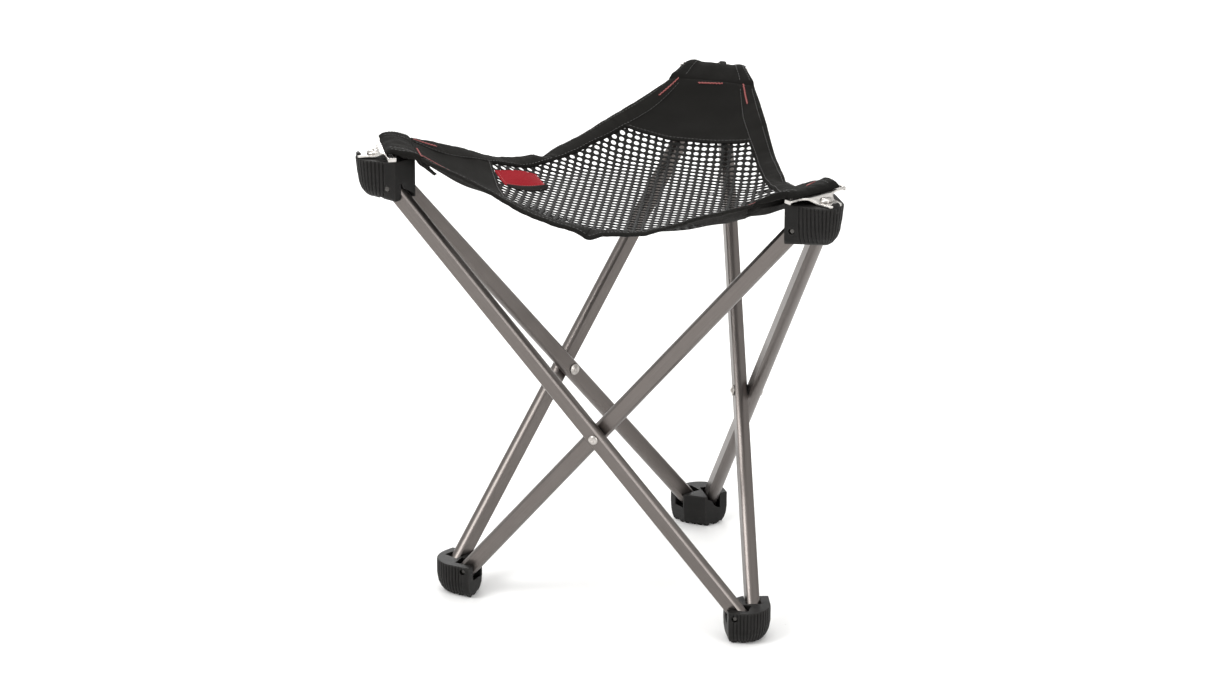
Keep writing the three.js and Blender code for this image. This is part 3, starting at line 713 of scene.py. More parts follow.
HUB_HALF_ANGLE = math.pi / 6 - FAN
FOOT_HALF_ANGLE = math.pi / 6 + FAN
HUB = Block(
    centre=(-3.1, 7.05), radius=17.9, arm=30, half_angle=HUB_HALF_ANGLE, ribs=11,
    slots=tube_slots(0, TOP_RADIUS, RISE, HUB_HALF_ANGLE),
    pin_out=12.6, pin_in=11.2, bore_in=11.5, opens_up=False,
)
FOOT = Block(
    centre=(-18.4, -7.9), radius=24.0, arm=29.0, half_angle=FOOT_HALF_ANGLE, ribs=14,
    slots=tube_slots(1, BOTTOM_RADIUS, 0, FOOT_HALF_ANGLE),
    pin_out=13.4, pin_in=10.4, bore_in=10.7, opens_up=True,
)

HUB_TAIL = -38.4                # x of the hub's inner end
# z, nose radius, how far the cheeks are drawn in
HUB_LEVELS = [
    (-12.0, 5.2, 1.4), (-9.8, 8.2, 0.3), (-5.0, 11.4, 0), (2.0, 14.2, 0),
    (11.0, 16.1, 0), (24.1, 17.4, 0), (25.0, 16.7, 0.6),
]
HUB_HEIGHTS = [
    -12, -11.3, -10.6, -9.8, -8.6, -7.4, -6.2, -5, -3.5, -2, 0, 2,
    4, 6, 8.5, 11, 14, 17, 20, 22.4, 24.1, 24.7, 25,
]

FOOT_BOTTOM = -26.5
# z, nose radius, how far the cheeks are drawn in, x of the inner end
FOOT_LEVELS = [
    (FOOT_BOTTOM, 14.6, 7.0, -29.6), (FOOT_BOTTOM + 1.8, 17.8, 5.0, -31.6),
    (-21.0, 20.6, 2.6, -33.4), (-16.0, 22.8, 0.8, -34.8), (-9.0, 24.0, 0, -35.4),
    (4.7, 24.0, 0, -35.4), (5.5, 23.3, 0.6, -34.8),
]
FOOT_HEIGHTS = [
    FOOT_BOTTOM, FOOT_BOTTOM + 0.9, FOOT_BOTTOM + 1.8, -23, -21.0, -18.5, -16.0, -13.5,
    -11, -9, -6, -3, 0, 2.5, 4.7, 5.2, 5.5,
]

# Slot outlines below or above the pivot, as (along the heading, z from the pivot)
SLOT_BELOW = [(-9.2, 3), (-9.2, -60), (62.5, -60), (7.2, 6.1)]
SLOT_ABOVE = [(-9.2, -3), (7.2, -6.1), (62.5, 60), (-9.2, 60)]
SLOT_HALF_WIDTH = 7.15
SLOT_EYE_RADIUS = 12.4          # clearance round the pivot


def level_at(levels, z):
    """The level table's other columns, interpolated at height z."""
    for low, high in zip(levels, levels[1:]):
        if low[0] <= z <= high[0]:
            t = (z - low[0]) / (high[0] - low[0])
            return [x + (y - x) * t for x, y in zip(low[1:], high[1:])]


def groove(phase):
    """Depth of the groove between ribs, 0 to 1, over one rib pitch."""
    return ease(max(0.0, 1 - abs(phase - 0.5) / 0.27))


def block_outline(block, radius, pull, tail, depth_share):
    """A ribbed round nose, two straight cheeks and a narrow tail between the slots."""
    cx, cy = block.centre
    half_nose = math.pi / 2 - block.half_angle
    pitch = 2 * half_nose * block.radius / block.ribs
    steps = block.ribs * RIB_STEPS
    nose = []
    for i in range(steps + 1):
        angle = -half_nose + 2 * half_nose * i / steps
        r = radius - RIB_DEPTH * depth_share * groove((i / RIB_STEPS) % 1.0)
        nose.append((cx + r * math.cos(angle), cy + r * math.sin(angle)))

    def cheek_end(slot):
        out, head = slot.out, slot.heading
        reach = block.radius - pull
        x, y = cx + reach * out[0], cy + reach * out[1]
        along = x * head[0] + y * head[1]
        return x + head[0] * (block.arm - along), y + head[1] * (block.arm - along)

    def cheek(start, end, out):
        points = []
        length = max(6.0, math.dist(start, end))
        ribbed = length * 0.62
        for rib in range(CHEEK_RIBS):
            for step in range(RIB_STEPS):
                run = (rib + (step + 0.5) / RIB_STEPS) * pitch
                if run > ribbed:
                    # past the ribs the spare points bunch up, keeping the count fixed
                    run = ribbed + 0.001 * (rib * RIB_STEPS + step)
                    depth = 0.0
                else:
                    depth = groove((step + 0.5) / RIB_STEPS)
                t = run / length
                x = start[0] + (end[0] - start[0]) * t
                y = start[1] + (end[1] - start[1]) * t
                points.append((
                    x - out[0] * RIB_DEPTH * depth_share * depth,
                    y - out[1] * RIB_DEPTH * depth_share * depth,
                ))
        return points

    plus, minus = block.slots
    plus_end, minus_end = cheek_end(plus), cheek_end(minus)
    return [
        *nose,
        *cheek(nose[-1], plus_end, plus.out),
        plus_end,
        (tail, cy + 11.0),
        (tail, cy - 11.0),
        minus_end,
        *cheek(nose[0], minus_end, minus.out)[::-1],
    ]


def out_from(slot, distance):
    """A point on the slot's pin line."""
    x, y, z = slot.pivot
    return x + slot.out[0] * distance, y + slot.out[1] * distance, z


def cut_slots_and_bores(ob, block):
    eye = [(x, y) for x, y, _ in circle(SLOT_EYE_RADIUS, 0, 48)]
    sweep = SLOT_ABOVE if block.opens_up else SLOT_BELOW
    for slot in block.slots:
        head = slot.heading
        axes = (Vector((head[0], head[1], 0)), Vector((0, 0, 1)), Vector((head[1], -head[0], 0)))
        place = Matrix(axes).transposed().to_4x4()
        place.translation = Vector(slot.pivot)
        for outline in (eye, sweep):
            walls = (-SLOT_HALF_WIDTH, SLOT_HALF_WIDTH)
            cut(ob, loft([[place @ Vector((x, y, z)) for x, y in outline] for z in walls]))
    for slot in block.slots:
        cut(ob, rod(out_from(slot, 30), out_from(slot, -block.bore_in), BORE_RADIUS))


def hub_shape():
    rings = []
    for z in HUB_HEIGHTS:
        radius, pull = level_at(HUB_LEVELS, z)
        # the bowl is rounder than its level table
        radius += 0.9 * math.exp(-((z + 3) / 7.0) ** 2)
        share = clamp01((z + 10.5) / 4.0) * clamp01((24.6 - z) / 0.8)
        rings.append([(x, y, z) for x, y in block_outline(HUB, radius, pull, HUB_TAIL, share)])
    ob = working_solid("hub_work", loft(rings))
    cut_slots_and_bores(ob, HUB)
    cut(ob, rod((*SCREW_XY, 12.6), (*SCREW_XY, 40), 4.3))
    # upright horn at the outer end of the plate
    y = HUB.centre[1]
    horn = [
        (9.8, y - 3.6), (12.3, y - 3.6), (13.3, y - 2.9), (13.6, y - 1.5),
        (13.6, y + 1.5), (13.3, y + 2.9), (12.3, y + 3.6), (9.8, y + 3.6),
    ]
    rings = [[(px, py, z) for px, py in horn] for z in (20.0, 28.0)]
    rings.append([(11.7 + (px - 11.7) * 0.62, y + (py - y) * 0.72, 29.0) for px, py in horn])
    cut(ob, loft(rings), "UNION")
    round_over(ob, BLOCK_VOXEL, passes=2, keep=0.30)
    return take(ob)


def foot_shape():
    rings = []
    for z in FOOT_HEIGHTS:
        radius, pull, tail = level_at(FOOT_LEVELS, z)
        share = clamp01((z - FOOT_BOTTOM) / 2.5) * clamp01((5.2 - z) / 0.8)
        rings.append([(x, y, z) for x, y in block_outline(FOOT, radius, pull, tail, share)])
    ob = working_solid("foot_work", loft(rings))
    cut_slots_and_bores(ob, FOOT)
    # a grid of grooves across the sole
    pitch, half = 6.4, 1.3
    low, high = FOOT_BOTTOM - 1.5, FOOT_BOTTOM + 2.3
    cy = FOOT.centre[1]
    for i in range(6):
        x = -30.5 + pitch * i
        cut(ob, box(x - half, x + half, cy - 45, cy + 45, low, high))
    for i in range(-3, 4):
        y = cy + pitch * i
        cut(ob, box(-60, 30, y - half, y + half, low, high))
    round_over(ob, BLOCK_VOXEL, passes=2, keep=0.30)
    return take(ob)


def pin_shape(length):
    profile = [
        (0, 0), (2.3, 0), (2.6, 0.3), (2.6, length - 0.9), (2.45, length - 0.45),
        (2.1, length - 0.15), (1.2, length), (0, length + 0.02),
    ]
    return lathe(profile, 28)


def build_pins(kind, block, corner, place):
    for slot in block.slots:
        name = f"{kind}_pin_{corner}_{slot.tube}"
        pin_place = place @ aim((*slot.out, 0), out_from(slot, -block.pin_in))
        shape = pin_shape(block.pin_out + block.pin_in)
        part(name + "_turned", shape, pin_place, PIN_METAL, f"{kind}_{corner}", name)


# The steel plate's T outline, as (x, half width), from its outer end to its crossbar
PLATE_HALF = [
    (12.8, 4.6), (12.4, 6.0), (11.2, 7.2), (5.4, 8.8), (1.5, 9.4), (-1.6, 10.2),
    (-4.2, 11.5), (-5.8, 12.6), (-7.6, 14.6), (-8.8, 17.0), (-9.7, 20.0), (-10.2, 23.0),
    (-10.6, 31.4), (-11.0, 32.6), (-12.0, 33.2), (-18.0, 33.2), (-18.9, 32.8), (-19.2, 32.0),
]


def plate_shape():
    """A T-shaped plate with a slotted crossbar and turned-down ears."""
    y = HUB.centre[1]
    outline = [(x, y + half) for x, half in PLATE_HALF]
    outline += [(x, y - half) for x, half in reversed(PLATE_HALF)]
    ob = working_solid("plate_work", loft([[(px, py, z) for px, py in outline]
                                           for z in (25.4, 27.4)]))
    for side in (-1, 1):
        ear = y + side * 32.4
        cut(ob, box(-18.6, -11.2, ear - 0.8, ear + 0.8, 23.8, 26.5), "UNION")
    cut(ob, box(-16.5, -13.0, y - 30.4, y + 30.4, 20, 40))
    # notch for the hub's horn, then the screw's hole
    cut(ob, box(9.2, 17.2, y - 4.1, y + 4.1, 20, 40))
    cut(ob, rod((*SCREW_XY, 0), (*SCREW_XY, 60), 2.9))
    round_over(ob, PLATE_VOXEL, passes=3, keep=0.2)
    verts, faces = take(ob)
    # the plate steps up towards its crossbar
    verts[:, 2] += ease(np.clip((-verts[:, 0] - 0.2) / 10.0, 0, 1), 4.4)
    return verts, faces


def screw_shape():
    """A pan-head screw with a cross recess."""
    seat = 27.55
    profile = [
        (0, 14.4), (1.9, 14.4), (2.2, 14.8), (2.2, seat), (5.9, seat),
        (6.1, seat + 0.15), (6.12, seat + 0.5),
    ]
    for i in range(1, 9):
        angle = math.pi / 2 * i / 9
        profile.append((6.1 * math.cos(angle), seat + 0.5 + 2.65 * math.sin(angle)))
    profile.append((0, seat + 3.15))
    ob = working_solid("screw_work", lathe(profile, 48))
    for angle in (0, 90):
        turning = turn(math.radians(angle + 22))
        rings = []
        # bottom and top of the recess: z, half length, half width
        for z, x, y in ((seat + 0.9, 1.0, 0.42), (seat + 3.6, 2.9, 0.72)):
            rings.append([turning @ Vector(p) for p in ((-x, -y, z), (x, -y, z), (x, y, z),
                                                        (-x, y, z))])
        cut(ob, loft(rings))
    return take(ob)


def insert_shape():
    """A brass sleeve with knurling on its widest part."""
    profile = [
        (2.5, 13.2), (3.5, 13.2), (3.7, 13.4), (3.7, 14.2),
        (4.0, 14.6), (4.0, 24.4), (3.8, 24.6), (2.5, 24.6),
    ]
    count = 48
    knurls = 24
    rings = []
    for radius, z in profile:
        depth = 0.12 if radius >= 3.99 else 0
        ring = []
        for i in range(count):
            angle = 2 * math.pi * i / count
            r = radius + depth * math.cos(knurls * angle) - depth
            ring.append((r * math.cos(angle), r * math.sin(angle), z))
        rings.append(ring)
    return loft_loop(rings)


def build_hardware():
    hub, foot = hub_shape(), foot_shape()
    for corner, hub_place, foot_place in zip(CORNERS, HUB_PLACES, FOOT_PLACES):
        for kind, shape, place in (("hub", hub, hub_place), ("foot", foot, foot_place)):
            name = f"{kind}_{corner}"
            part(name + "_moulded", shape, place, BLACK_PLASTIC, name, name,
                 angle=60)
        build_pins("hub", HUB, corner, hub_place)
        build_pins("foot", FOOT, corner, foot_place)

    plate, screw, insert = plate_shape(), screw_shape(), insert_shape()
    for i, (corner, place) in enumerate(zip(CORNERS, HUB_PLACES)):
        body = f"hub_{corner}"
        screw_place = place @ move(*SCREW_XY, 0)
        name = f"hook_plate_{corner}"
        part(name + "_stamped", plate, place, NICKEL, body, name, angle=50)
        name = f"plate_screw_{corner}"
        part(name + "_panhead", screw, screw_place @ turn(0.5 * i), ZINC, body,
             name, angle=40)
        name = f"threaded_insert_{corner}"
        face_outward(part(name + "_knurled", insert, screw_place, BRASS, body,
                          name))


# ---- seat surface --------------------------------------------------------------------------
# Heights are above the top pivots. In a corner's own coordinates r runs from the axis to the
# corner and v across it. Each edge starts at the +v side of one corner and ends at the -v
# side of the next.
EDGE_DISTANCE = 139.0           # from the axis to each edge of the sling
INNER_RADIUS = EDGE_DISTANCE / 2
CENTRE_HEIGHT = -23.5
EDGE_UNIT = 178                 # mm along an edge to one unit of EDGE_RUN
EDGE_RUN = [0, 0.16, 0.32, 0.45, 0.6, 0.8, 1.0, 1.3]        # from the edge's middle
# edge heights at those runs, towards the edge's start and its end
EDGE_START = [-20.4, -15.5, -8.5, -0.5, 8.0, 19.0, 29.0, 44.0]
EDGE_END = [-20.4, -18.5, -13.6, -4.5, 7.5, 19.0, 29.0, 44.0]
# how much higher the edges are drawn near each corner, on its +v and -v sides
START_RISE = (7.2, 6.4, -1.6)
END_RISE = (1.0, 0.0, 0.0)

POCKET_START = (127.0, 130.0, 135.0)        # r where each corner's pocket begins
POCKET_END = 206.0

GRID_COUNT = 121                # the sag is kept on a square plan grid
GRID_STEP = 4.0
SAG = np.zeros((GRID_COUNT, GRID_COUNT))


def smooth_curve(xs, ys, count=400, passes=160):
    """A smooth curve through the table, as a finer table."""
    x = np.linspace(xs[0], xs[-1], count)
    y = np.interp(x, xs, ys)
    for _ in range(passes):
        y[1:-1] = 0.25 * y[:-2] + 0.5 * y[1:-1] + 0.25 * y[2:]
    return x, y


START_CURVE = smooth_curve(EDGE_RUN, EDGE_START)
END_CURVE = smooth_curve(EDGE_RUN, EDGE_END)


def half_width(r):
    """Half the sling's width across a corner, at r."""
    return (EDGE_DISTANCE - 0.5 * r) / COS_30


def to_plan(r, v, corner):
    cos, sin = math.cos(CORNER_ANGLES[corner]), math.sin(CORNER_ANGLES[corner])
    return r * cos - v * sin, r * sin + v * cos


def edge_coords(x, y, side):
    """Position along a side, and distance from the axis towards it."""
    along, inward = turned(x, y, 2 * math.pi * side / 3)
    return along, -inward


def design_height(x, y):
    """The sling's height before it sags; each point takes the corner it lies farthest out on."""
    x, y = np.asarray(x, float), np.asarray(y, float)
    farthest = np.full(x.shape, -1e9)
    height = np.zeros(x.shape)
    for angle, start_rise, end_rise in zip(CORNER_ANGLES, START_RISE, END_RISE):
        r, v = turned(x, y, angle)
        out = np.maximum(r, 0.01)
        tip = np.clip((out - 172) / 34, 0, 1)
        middle = CENTRE_HEIGHT + 52.5 * (out / 224) ** 2.8 + ease(tip, 5.5)
        inner = out < INNER_RADIUS
        limit = np.where(inner, math.sqrt(3) * out, half_width(out))
        run = np.clip((out * COS_30 - 0.5 * limit) / EDGE_UNIT, 0, 1.29)
        edge = np.where(v > 0, np.interp(run, *START_CURVE), np.interp(run, *END_CURVE))
        near = np.clip((out - 112) / 62, 0, 1)
        edge = edge + 1.2 * tip + ease(near, np.where(v > 0, start_rise, end_rise))
        climb = EDGE_START[0] - CENTRE_HEIGHT
        rim = CENTRE_HEIGHT + climb * (2 * out / EDGE_DISTANCE) ** 1.5
        edge = np.where(inner, rim, edge)
        across = np.minimum(np.abs(v) / np.maximum(limit, 1e-3), 1.1)
        z = middle + (edge - middle) * across * across
        chosen = r > farthest
        farthest = np.where(chosen, r, farthest)
        height = np.where(chosen, z, height)
    # a pointed droop in the middle of each edge, and a crease running to it
    for side in range(3):
        u, d = edge_coords(x, y, side)
        at_edge = bell(np.minimum(d, EDGE_DISTANCE), EDGE_DISTANCE, 13.0)
        height = height - 4.2 * bell(u, 3.0, 9.0) * at_edge
        share = np.clip(d / EDGE_DISTANCE, 0, 1)
        height = height + 1.1 * bell(u, 0.0, 5.0) * share * bell(d, 80, 55.0)
    return height


def sling_sheet():
    """The sheet to be settled: its object, with the pin weights of its vertices."""
    rows, columns = 44, 28
    first_r, last_r = 1.0, 222.0
    held_r = 205                            # held fast beyond this
    edge_pins = {0: 0.93, 1: 0.35}          # by columns in from the edge
    plan, pins, faces = [], [], []
    for corner in range(3):
        base = len(plan)
        for a in range(rows + 1):
            r = first_r + (last_r - first_r) * a / rows
            limit = min(math.sqrt(3) * r, half_width(r))
            for b in range(columns + 1):
                plan.append(to_plan(r, limit * (-1 + 2 * b / columns), corner))
                edge = edge_pins.get(min(b, columns - b), 0.0) if r > INNER_RADIUS else 0.0
                pins.append(1.0 if r > held_r else edge)
        for a in range(rows):
            for b in range(columns):
                p = base + a * (columns + 1) + b
                faces.append((p, p + columns + 1, p + columns + 2, p + 1))
    xy = np.array(plan)
    # a little slack, as gathers that settle into soft folds
    slack = np.array([
        1.1 * math.sin(0.11 * x + 0.05 * y) * math.sin(0.07 * y - 0.04 * x + 1.0)
        for x, y in plan
    ])
    z = design_height(xy[:, 0], xy[:, 1]) + slack * (np.array(pins) < 0.9)
    ob = working_object("sling_cloth", (np.column_stack([xy, z]) * MM, faces))
    # weld the three sectors, carrying the pin weights through
    bm = bmesh.new()
    bm.from_mesh(ob.data)
    layer = bm.verts.layers.float.new("pinw")
    for vert, pin in zip(bm.verts, pins):
        vert[layer] = pin
    bmesh.ops.remove_doubles(bm, verts=bm.verts, dist=2e-4)
    bmesh.ops.recalc_face_normals(bm, faces=bm.faces)
    pins = [vert[layer] for vert in bm.verts]
    bm.to_mesh(ob.data)
    bm.free()
    return ob, pins


def settle_sling():
    """Let the pinned sheet settle under its own weight; its height change on the plan grid."""
    ob, pins = sling_sheet()
    rest = vertex_places(ob.data)
    group = ob.vertex_groups.new(name="pin")
    for i, pin in enumerate(pins):
        if pin > 0:
            group.add([i], pin, "REPLACE")
    cloth = ob.modifiers.new("cloth", "CLOTH")
    settings = cloth.settings
    settings.quality = 6
    settings.mass = 0.12
    settings.tension_stiffness = 18
    settings.compression_stiffness = 18
    settings.shear_stiffness = 4
    settings.bending_stiffness = 0.6
    settings.shrink_min = -0.012
    settings.vertex_group_mass = "pin"
    settings.pin_stiffness = 1.2
    cloth.collision_settings.use_collision = False
    cloth.collision_settings.use_self_collision = False
    last_frame = 24
    cloth.point_cache.frame_start = 1
    cloth.point_cache.frame_end = last_frame
    for number in range(1, last_frame + 1):
        bpy.context.scene.frame_set(number)
    depsgraph = bpy.context.evaluated_depsgraph_get()
    settled = vertex_places(ob.evaluated_get(depsgraph).data)
    bpy.context.scene.frame_set(1)
    bpy.data.objects.remove(ob)

    change = np.clip((settled[:, 2] - rest[:, 2]) / MM, -9, 6)
    px, py = rest[:, 0] / MM, rest[:, 1] / MM
    spread = 4.5
    grid = np.zeros((GRID_COUNT, GRID_COUNT))
    marks = (np.arange(GRID_COUNT) - GRID_COUNT // 2) * GRID_STEP
    for j, y in enumerate(marks):
        for i, x in enumerate(marks):
            weights = np.exp(-((px - x) ** 2 + (py - y) ** 2) / (2 * spread ** 2))
            total = weights.sum()
            grid[j, i] = (weights * change).sum() / total if total > 1e-4 else 0.0
    return grid


def sag(x, y):
    """The settled height change, interpolated in the plan grid."""
    middle, top = GRID_COUNT // 2, GRID_COUNT - 1.001
    gx = np.clip(np.asarray(x, float) / GRID_STEP + middle, 0, top)
    gy = np.clip(np.asarray(y, float) / GRID_STEP + middle, 0, top)
    i, j = gx.astype(int), gy.astype(int)
    u, v = gx - i, gy - j
    low = SAG[j, i] * (1 - u) * (1 - v) + SAG[j, i + 1] * u * (1 - v)
    return low + SAG[j + 1, i] * (1 - u) * v + SAG[j + 1, i + 1] * u * v


def seat_height(x, y):
    return design_height(x, y) + sag(x, y)


def lifted(x, y, lift):
    """Points over plan x, y, raised by lift along the sling's normal."""
    z = seat_height(x, y)
    e = 1.5
    slope_x = (seat_height(x + e, y) - seat_height(x - e, y)) / (2 * e)
    slope_y = (seat_height(x, y + e) - seat_height(x, y - e)) / (2 * e)
    k = 1 / np.sqrt(1 + slope_x ** 2 + slope_y ** 2)
    return np.stack([x - lift * slope_x * k, y - lift * slope_y * k, z + lift * k], -1)


def seat_point(r, v, lift, corner):
    """Points in a corner's coordinates, raised above the sling."""
    r, v, lift = np.broadcast_arrays(*(np.asarray(value, float) for value in (r, v, lift)))
    x, y = to_plan(r, v, corner)
    return lifted(x, y, lift)


def squash_seat(ob):
    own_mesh(ob)


# ---- open mesh -----------------------------------------------------------------------------
CELL_X, CELL_Y = 7.42, 7.45     # pitch of the holes
HOLE_X, HOLE_Y = 2.48, 2.5      # radii of the holes
CELL_SHIFT_X, CELL_SHIFT_Y = 0.8, 1.3
CELL_SHEAR = -0.26              # the columns lean, by this much x to each y
STRAND_HALF = 0.62              # half thickness at the cell's border
STRAND_MID_HALF = 0.45          # and just outside the hole


def mesh_cells():
    """Cells inside the edges and pockets: {(column, row): corner}."""
    cells = {}
    for row in range(-24, 30):
        for column in range(-36, 37):
            y = row * CELL_Y + CELL_SHIFT_Y
            x = column * CELL_X + CELL_SHEAR * y + CELL_SHIFT_X
            if max(edge_coords(x, y, side)[1] for side in range(3)) > EDGE_DISTANCE - 11:
                continue
            radii = [turned(x, y, angle)[0] for angle in CORNER_ANGLES]
            corner = int(np.argmax(radii))
            if radii[corner] <= POCKET_START[corner] + 9:
                cells[(column, row)] = corner
    return cells


def cell_border():
    """Twelve points round a cell's border, each coordinate from -1 to 1."""
    thirds = [-1 + 2 * t / 3 for t in range(3)]
    return (
        [(1, f) for f in thirds] + [(-f, 1) for f in thirds]
        + [(-1, -f) for f in thirds] + [(f, -1) for f in thirds]
    )


def mesh_sector(cells, corner):
    """Plan points, lifts and faces of one corner's share of the mesh."""
    points, lifts, faces = [], [], []
    shared = {}

    def vert(x, y, lift):
        """A new vertex at unsheared x."""
        points.append((x + CELL_SHEAR * y, y))
        lifts.append(lift)
        return len(points) - 1

    def border_vert(x, y, lift):
        """A vertex shared with the neighbouring cells."""
        key = (lift > 0, round(x * 30), round(y * 30))
        if key not in shared:
            shared[key] = vert(x, y, lift)
        return shared[key]

    border = cell_border()
    for (column, row), owner in cells.items():
        if owner != corner:
            continue
        cx = column * CELL_X + CELL_SHIFT_X
        cy = row * CELL_Y + CELL_SHIFT_Y
        size = 1 + 0.03 * math.sin(12.9898 * column + 78.233 * row)
        out_top, out_low, mid_top, mid_low, hole = [], [], [], [], []
        for n, (fx, fy) in enumerate(border):
            x, y = cx + fx * CELL_X / 2, cy + fy * CELL_Y / 2
            out_top.append(border_vert(x, y, STRAND_HALF))
            out_low.append(border_vert(x, y, -STRAND_HALF))
            angle = math.radians(-45 + 30 * n)
            hx, hy = HOLE_X * size * math.cos(angle), HOLE_Y * size * math.sin(angle)
            hole.append(vert(cx + hx, cy + hy, 0.0))
            mid_top.append(vert(cx + hx * 1.13, cy + hy * 1.13, STRAND_MID_HALF))
            mid_low.append(vert(cx + hx * 1.13, cy + hy * 1.13, -STRAND_MID_HALF))
        for a in range(12):
            b = (a + 1) % 12
            faces += [
                (mid_top[a], out_top[a], out_top[b], mid_top[b]),
                (hole[a], mid_top[a], mid_top[b], hole[b]),
                (mid_low[a], hole[a], hole[b], mid_low[b]),
                (out_low[a], mid_low[a], mid_low[b], out_low[b]),
            ]
        # close the sides that have no neighbour in this sector
        for side, (dx, dy) in enumerate(((1, 0), (0, 1), (-1, 0), (0, -1))):
            if cells.get((column + dx, row + dy)) != corner:
                for a in range(side * 3, side * 3 + 3):
                    b = (a + 1) % 12
                    faces.append((out_top[a], out_low[a], out_low[b], out_top[b]))
    return np.array(points), np.array(lifts), faces


def build_open_mesh():
    cells = mesh_cells()
    for i, corner in enumerate(CORNERS):
        xy, lifts, faces = mesh_sector(cells, i)
        verts = lifted(xy[:, 0], xy[:, 1], lifts)
        ob = part(f"seat_mesh_{corner}", (verts, faces), SEAT_PLACE, YARN, f"seat_{corner}",
                  uv=xy, angle=80)
        squash_seat(ob)


# ---- cloth layers --------------------------------------------------------------------------
HEM_WIDTH = 18.5
HEM_HALF_THICK = 1.75


def slab_faces(rows, columns):
    """Faces of a closed slab: a grid of upper vertices followed by the same grid below."""
    n = columns + 1
    below = (rows + 1) * n
    faces = []
    for a in range(rows):
        for b in range(columns):
            p = a * n + b
            q = below + p
            faces += [(p, p + n, p + n + 1, p + 1), (q, q + 1, q + n + 1, q + n)]
    rim = [
        *range(columns),
        *[a * n + columns for a in range(rows)],
        *[rows * n + b for b in range(columns, 0, -1)],
        *[a * n for a in range(rows, 0, -1)],
    ]
    for p, q in zip(rim, rim[1:] + rim[:1]):
        faces.append((p, q, below + q, below + p))
    return faces


def cloth_layer(name, rows, columns, surface, corner, material, half_thick,
                replaces=None, crown=0.0):
    """A closed, soft-edged layer. surface(a, b), with a and b in 0..1, gives (r, v, lift)."""
    upper, lower = [], []
    for i, a in enumerate(np.linspace(0, 1, rows + 1)):
        for b in np.linspace(0, 1, columns + 1):
            r, v, lift = surface(a, b)
            rim = min(1.0, min(a, 1 - a) * rows, min(b, 1 - b) * columns)
            thick = half_thick * (0.25 + 0.75 * rim)
            upper.append((r, v, lift + thick + crown * math.sin(math.pi * b)))
            lower.append((r, v, lift - thick))
    verts = np.vstack([seat_point(*zip(*points), corner) for points in (upper, lower)])
    uv = [(r, v) for r, v, _ in upper]
    ob = part(name, (verts, slab_faces(rows, columns)), SEAT_PLACE, material,
              f"seat_{CORNERS[corner]}", replaces, uv=uv + uv, angle=70)
    face_outward_and_shade(ob, 70)
    squash_seat(ob)


def ripple(u, seed, amplitude):
    return amplitude * (
        math.sin(0.16 * u + seed) * 0.5
        + math.sin(0.37 * u + 2.1 * seed) * 0.3
        + math.sin(0.71 * u + 3.7 * seed) * 0.2
    )


def hem_point(a, inset, sign, side):
    """(r, v, lift) on a hem: a runs from the edge's middle (0) to the corner (1)."""
    outward = 1 - inset / HEM_WIDTH
    narrowed = inset * (1.0 - 0.28 * max(0.0, (a - 0.72) / 0.28))
    d = EDGE_DISTANCE - narrowed
    end = (POCKET_END - 1.0 - 0.5 * d) / COS_30
    u = -1.2 + (end + 1.2) * a
    wave = ripple(u * sign, side * 1.7, 0.55) * (0.35 + 0.65 * outward)
    lift = 0.95 + wave + 0.35 * math.sin(math.pi * outward) - 2.2 * outward ** 2.5
    r = 0.5 * d + COS_30 * u
    v = COS_30 * d - 0.5 * u
    return r, sign * (v + 0.5 * outward * outward), lift


def lip_lift(v, corner):
    """Lift of the folded hem along a pocket's open side."""
    return 1.75 + ripple(v, corner, 0.15)


def build_pockets():
    for i, corner in enumerate(CORNERS):
        start = POCKET_START[i]

        def pocket(a, b):
            r = start + (POCKET_END - start) * a
            v = (half_width(r) - 3.0) * (-1 + 2 * b)
            wrinkle = (
                0.5 * math.sin(v * 0.11 + i) * math.sin(r * 0.085 + 0.7 * i)
                + 0.35 * math.sin(r * 0.21 + v * 0.05 + i)
            )
            waver = 0.5 * math.sin(v * 0.2 + i) if a < 0.02 else 0
            return r + waver, v, 0.9 + wrinkle * min(1, a * 6) * 0.8

        def lip(a, b):
            v = (half_width(start) - 8) * (-1 + 2 * a)
            return start - 0.8 + 5.0 * b, v, lip_lift(v, i)

        cloth_layer(f"corner_pocket_{corner}", 46, 40, pocket, i, POCKET_CLOTH,
                    half_thick=1.25, replaces=f"seat_panel_{corner}")
        cloth_layer(f"pocket_hem_{corner}", 48, 5, lip, i, TAPE,
                    half_thick=0.7, crown=0.25)


def build_edge_tapes():
    """Two halves to each edge, each on its own corner's seat body."""
    for side in range(3):
        for half, corner, sign in (("a", side, 1), ("b", (side + 1) % 3, -1)):

            def hem(a, b):
                return hem_point(a, HEM_WIDTH * (1 - b), sign, side)

            cloth_layer(
                f"edge_tape_{SIDES[side]}_{half}", 84, 9, hem, corner, TAPE,
                half_thick=HEM_HALF_THICK,
                replaces=f"edge_binding_{SIDES[side]}" if half == "a" else None,
            )


# ---- stitches ------------------------------------------------------------------------------
# along the stitch, share of the radius
STITCH_PROFILE = [
    (0.0, 0.02), (0.12, 0.62), (0.3, 0.95), (0.5, 1.0), (0.7, 0.95), (0.88, 0.62), (1.0, 0.02),
]


def stitches(segments, radius, count=6):
    """Little rounded stitches between pairs of points, as one shape."""
    verts, faces = [], []
    for start, end in segments:
        start, end = Vector(start), Vector(end)
        direction = end - start
        length = direction.length
        place = aim(direction, start)
        rings = [
            [place @ Vector(p) for p in circle(radius * share, t * length, count)]
            for t, share in STITCH_PROFILE
        ]
        base = len(verts)
        points, walls = loft(rings)
        verts += points
        faces += [tuple(base + k for k in face) for face in walls]
    return verts, faces


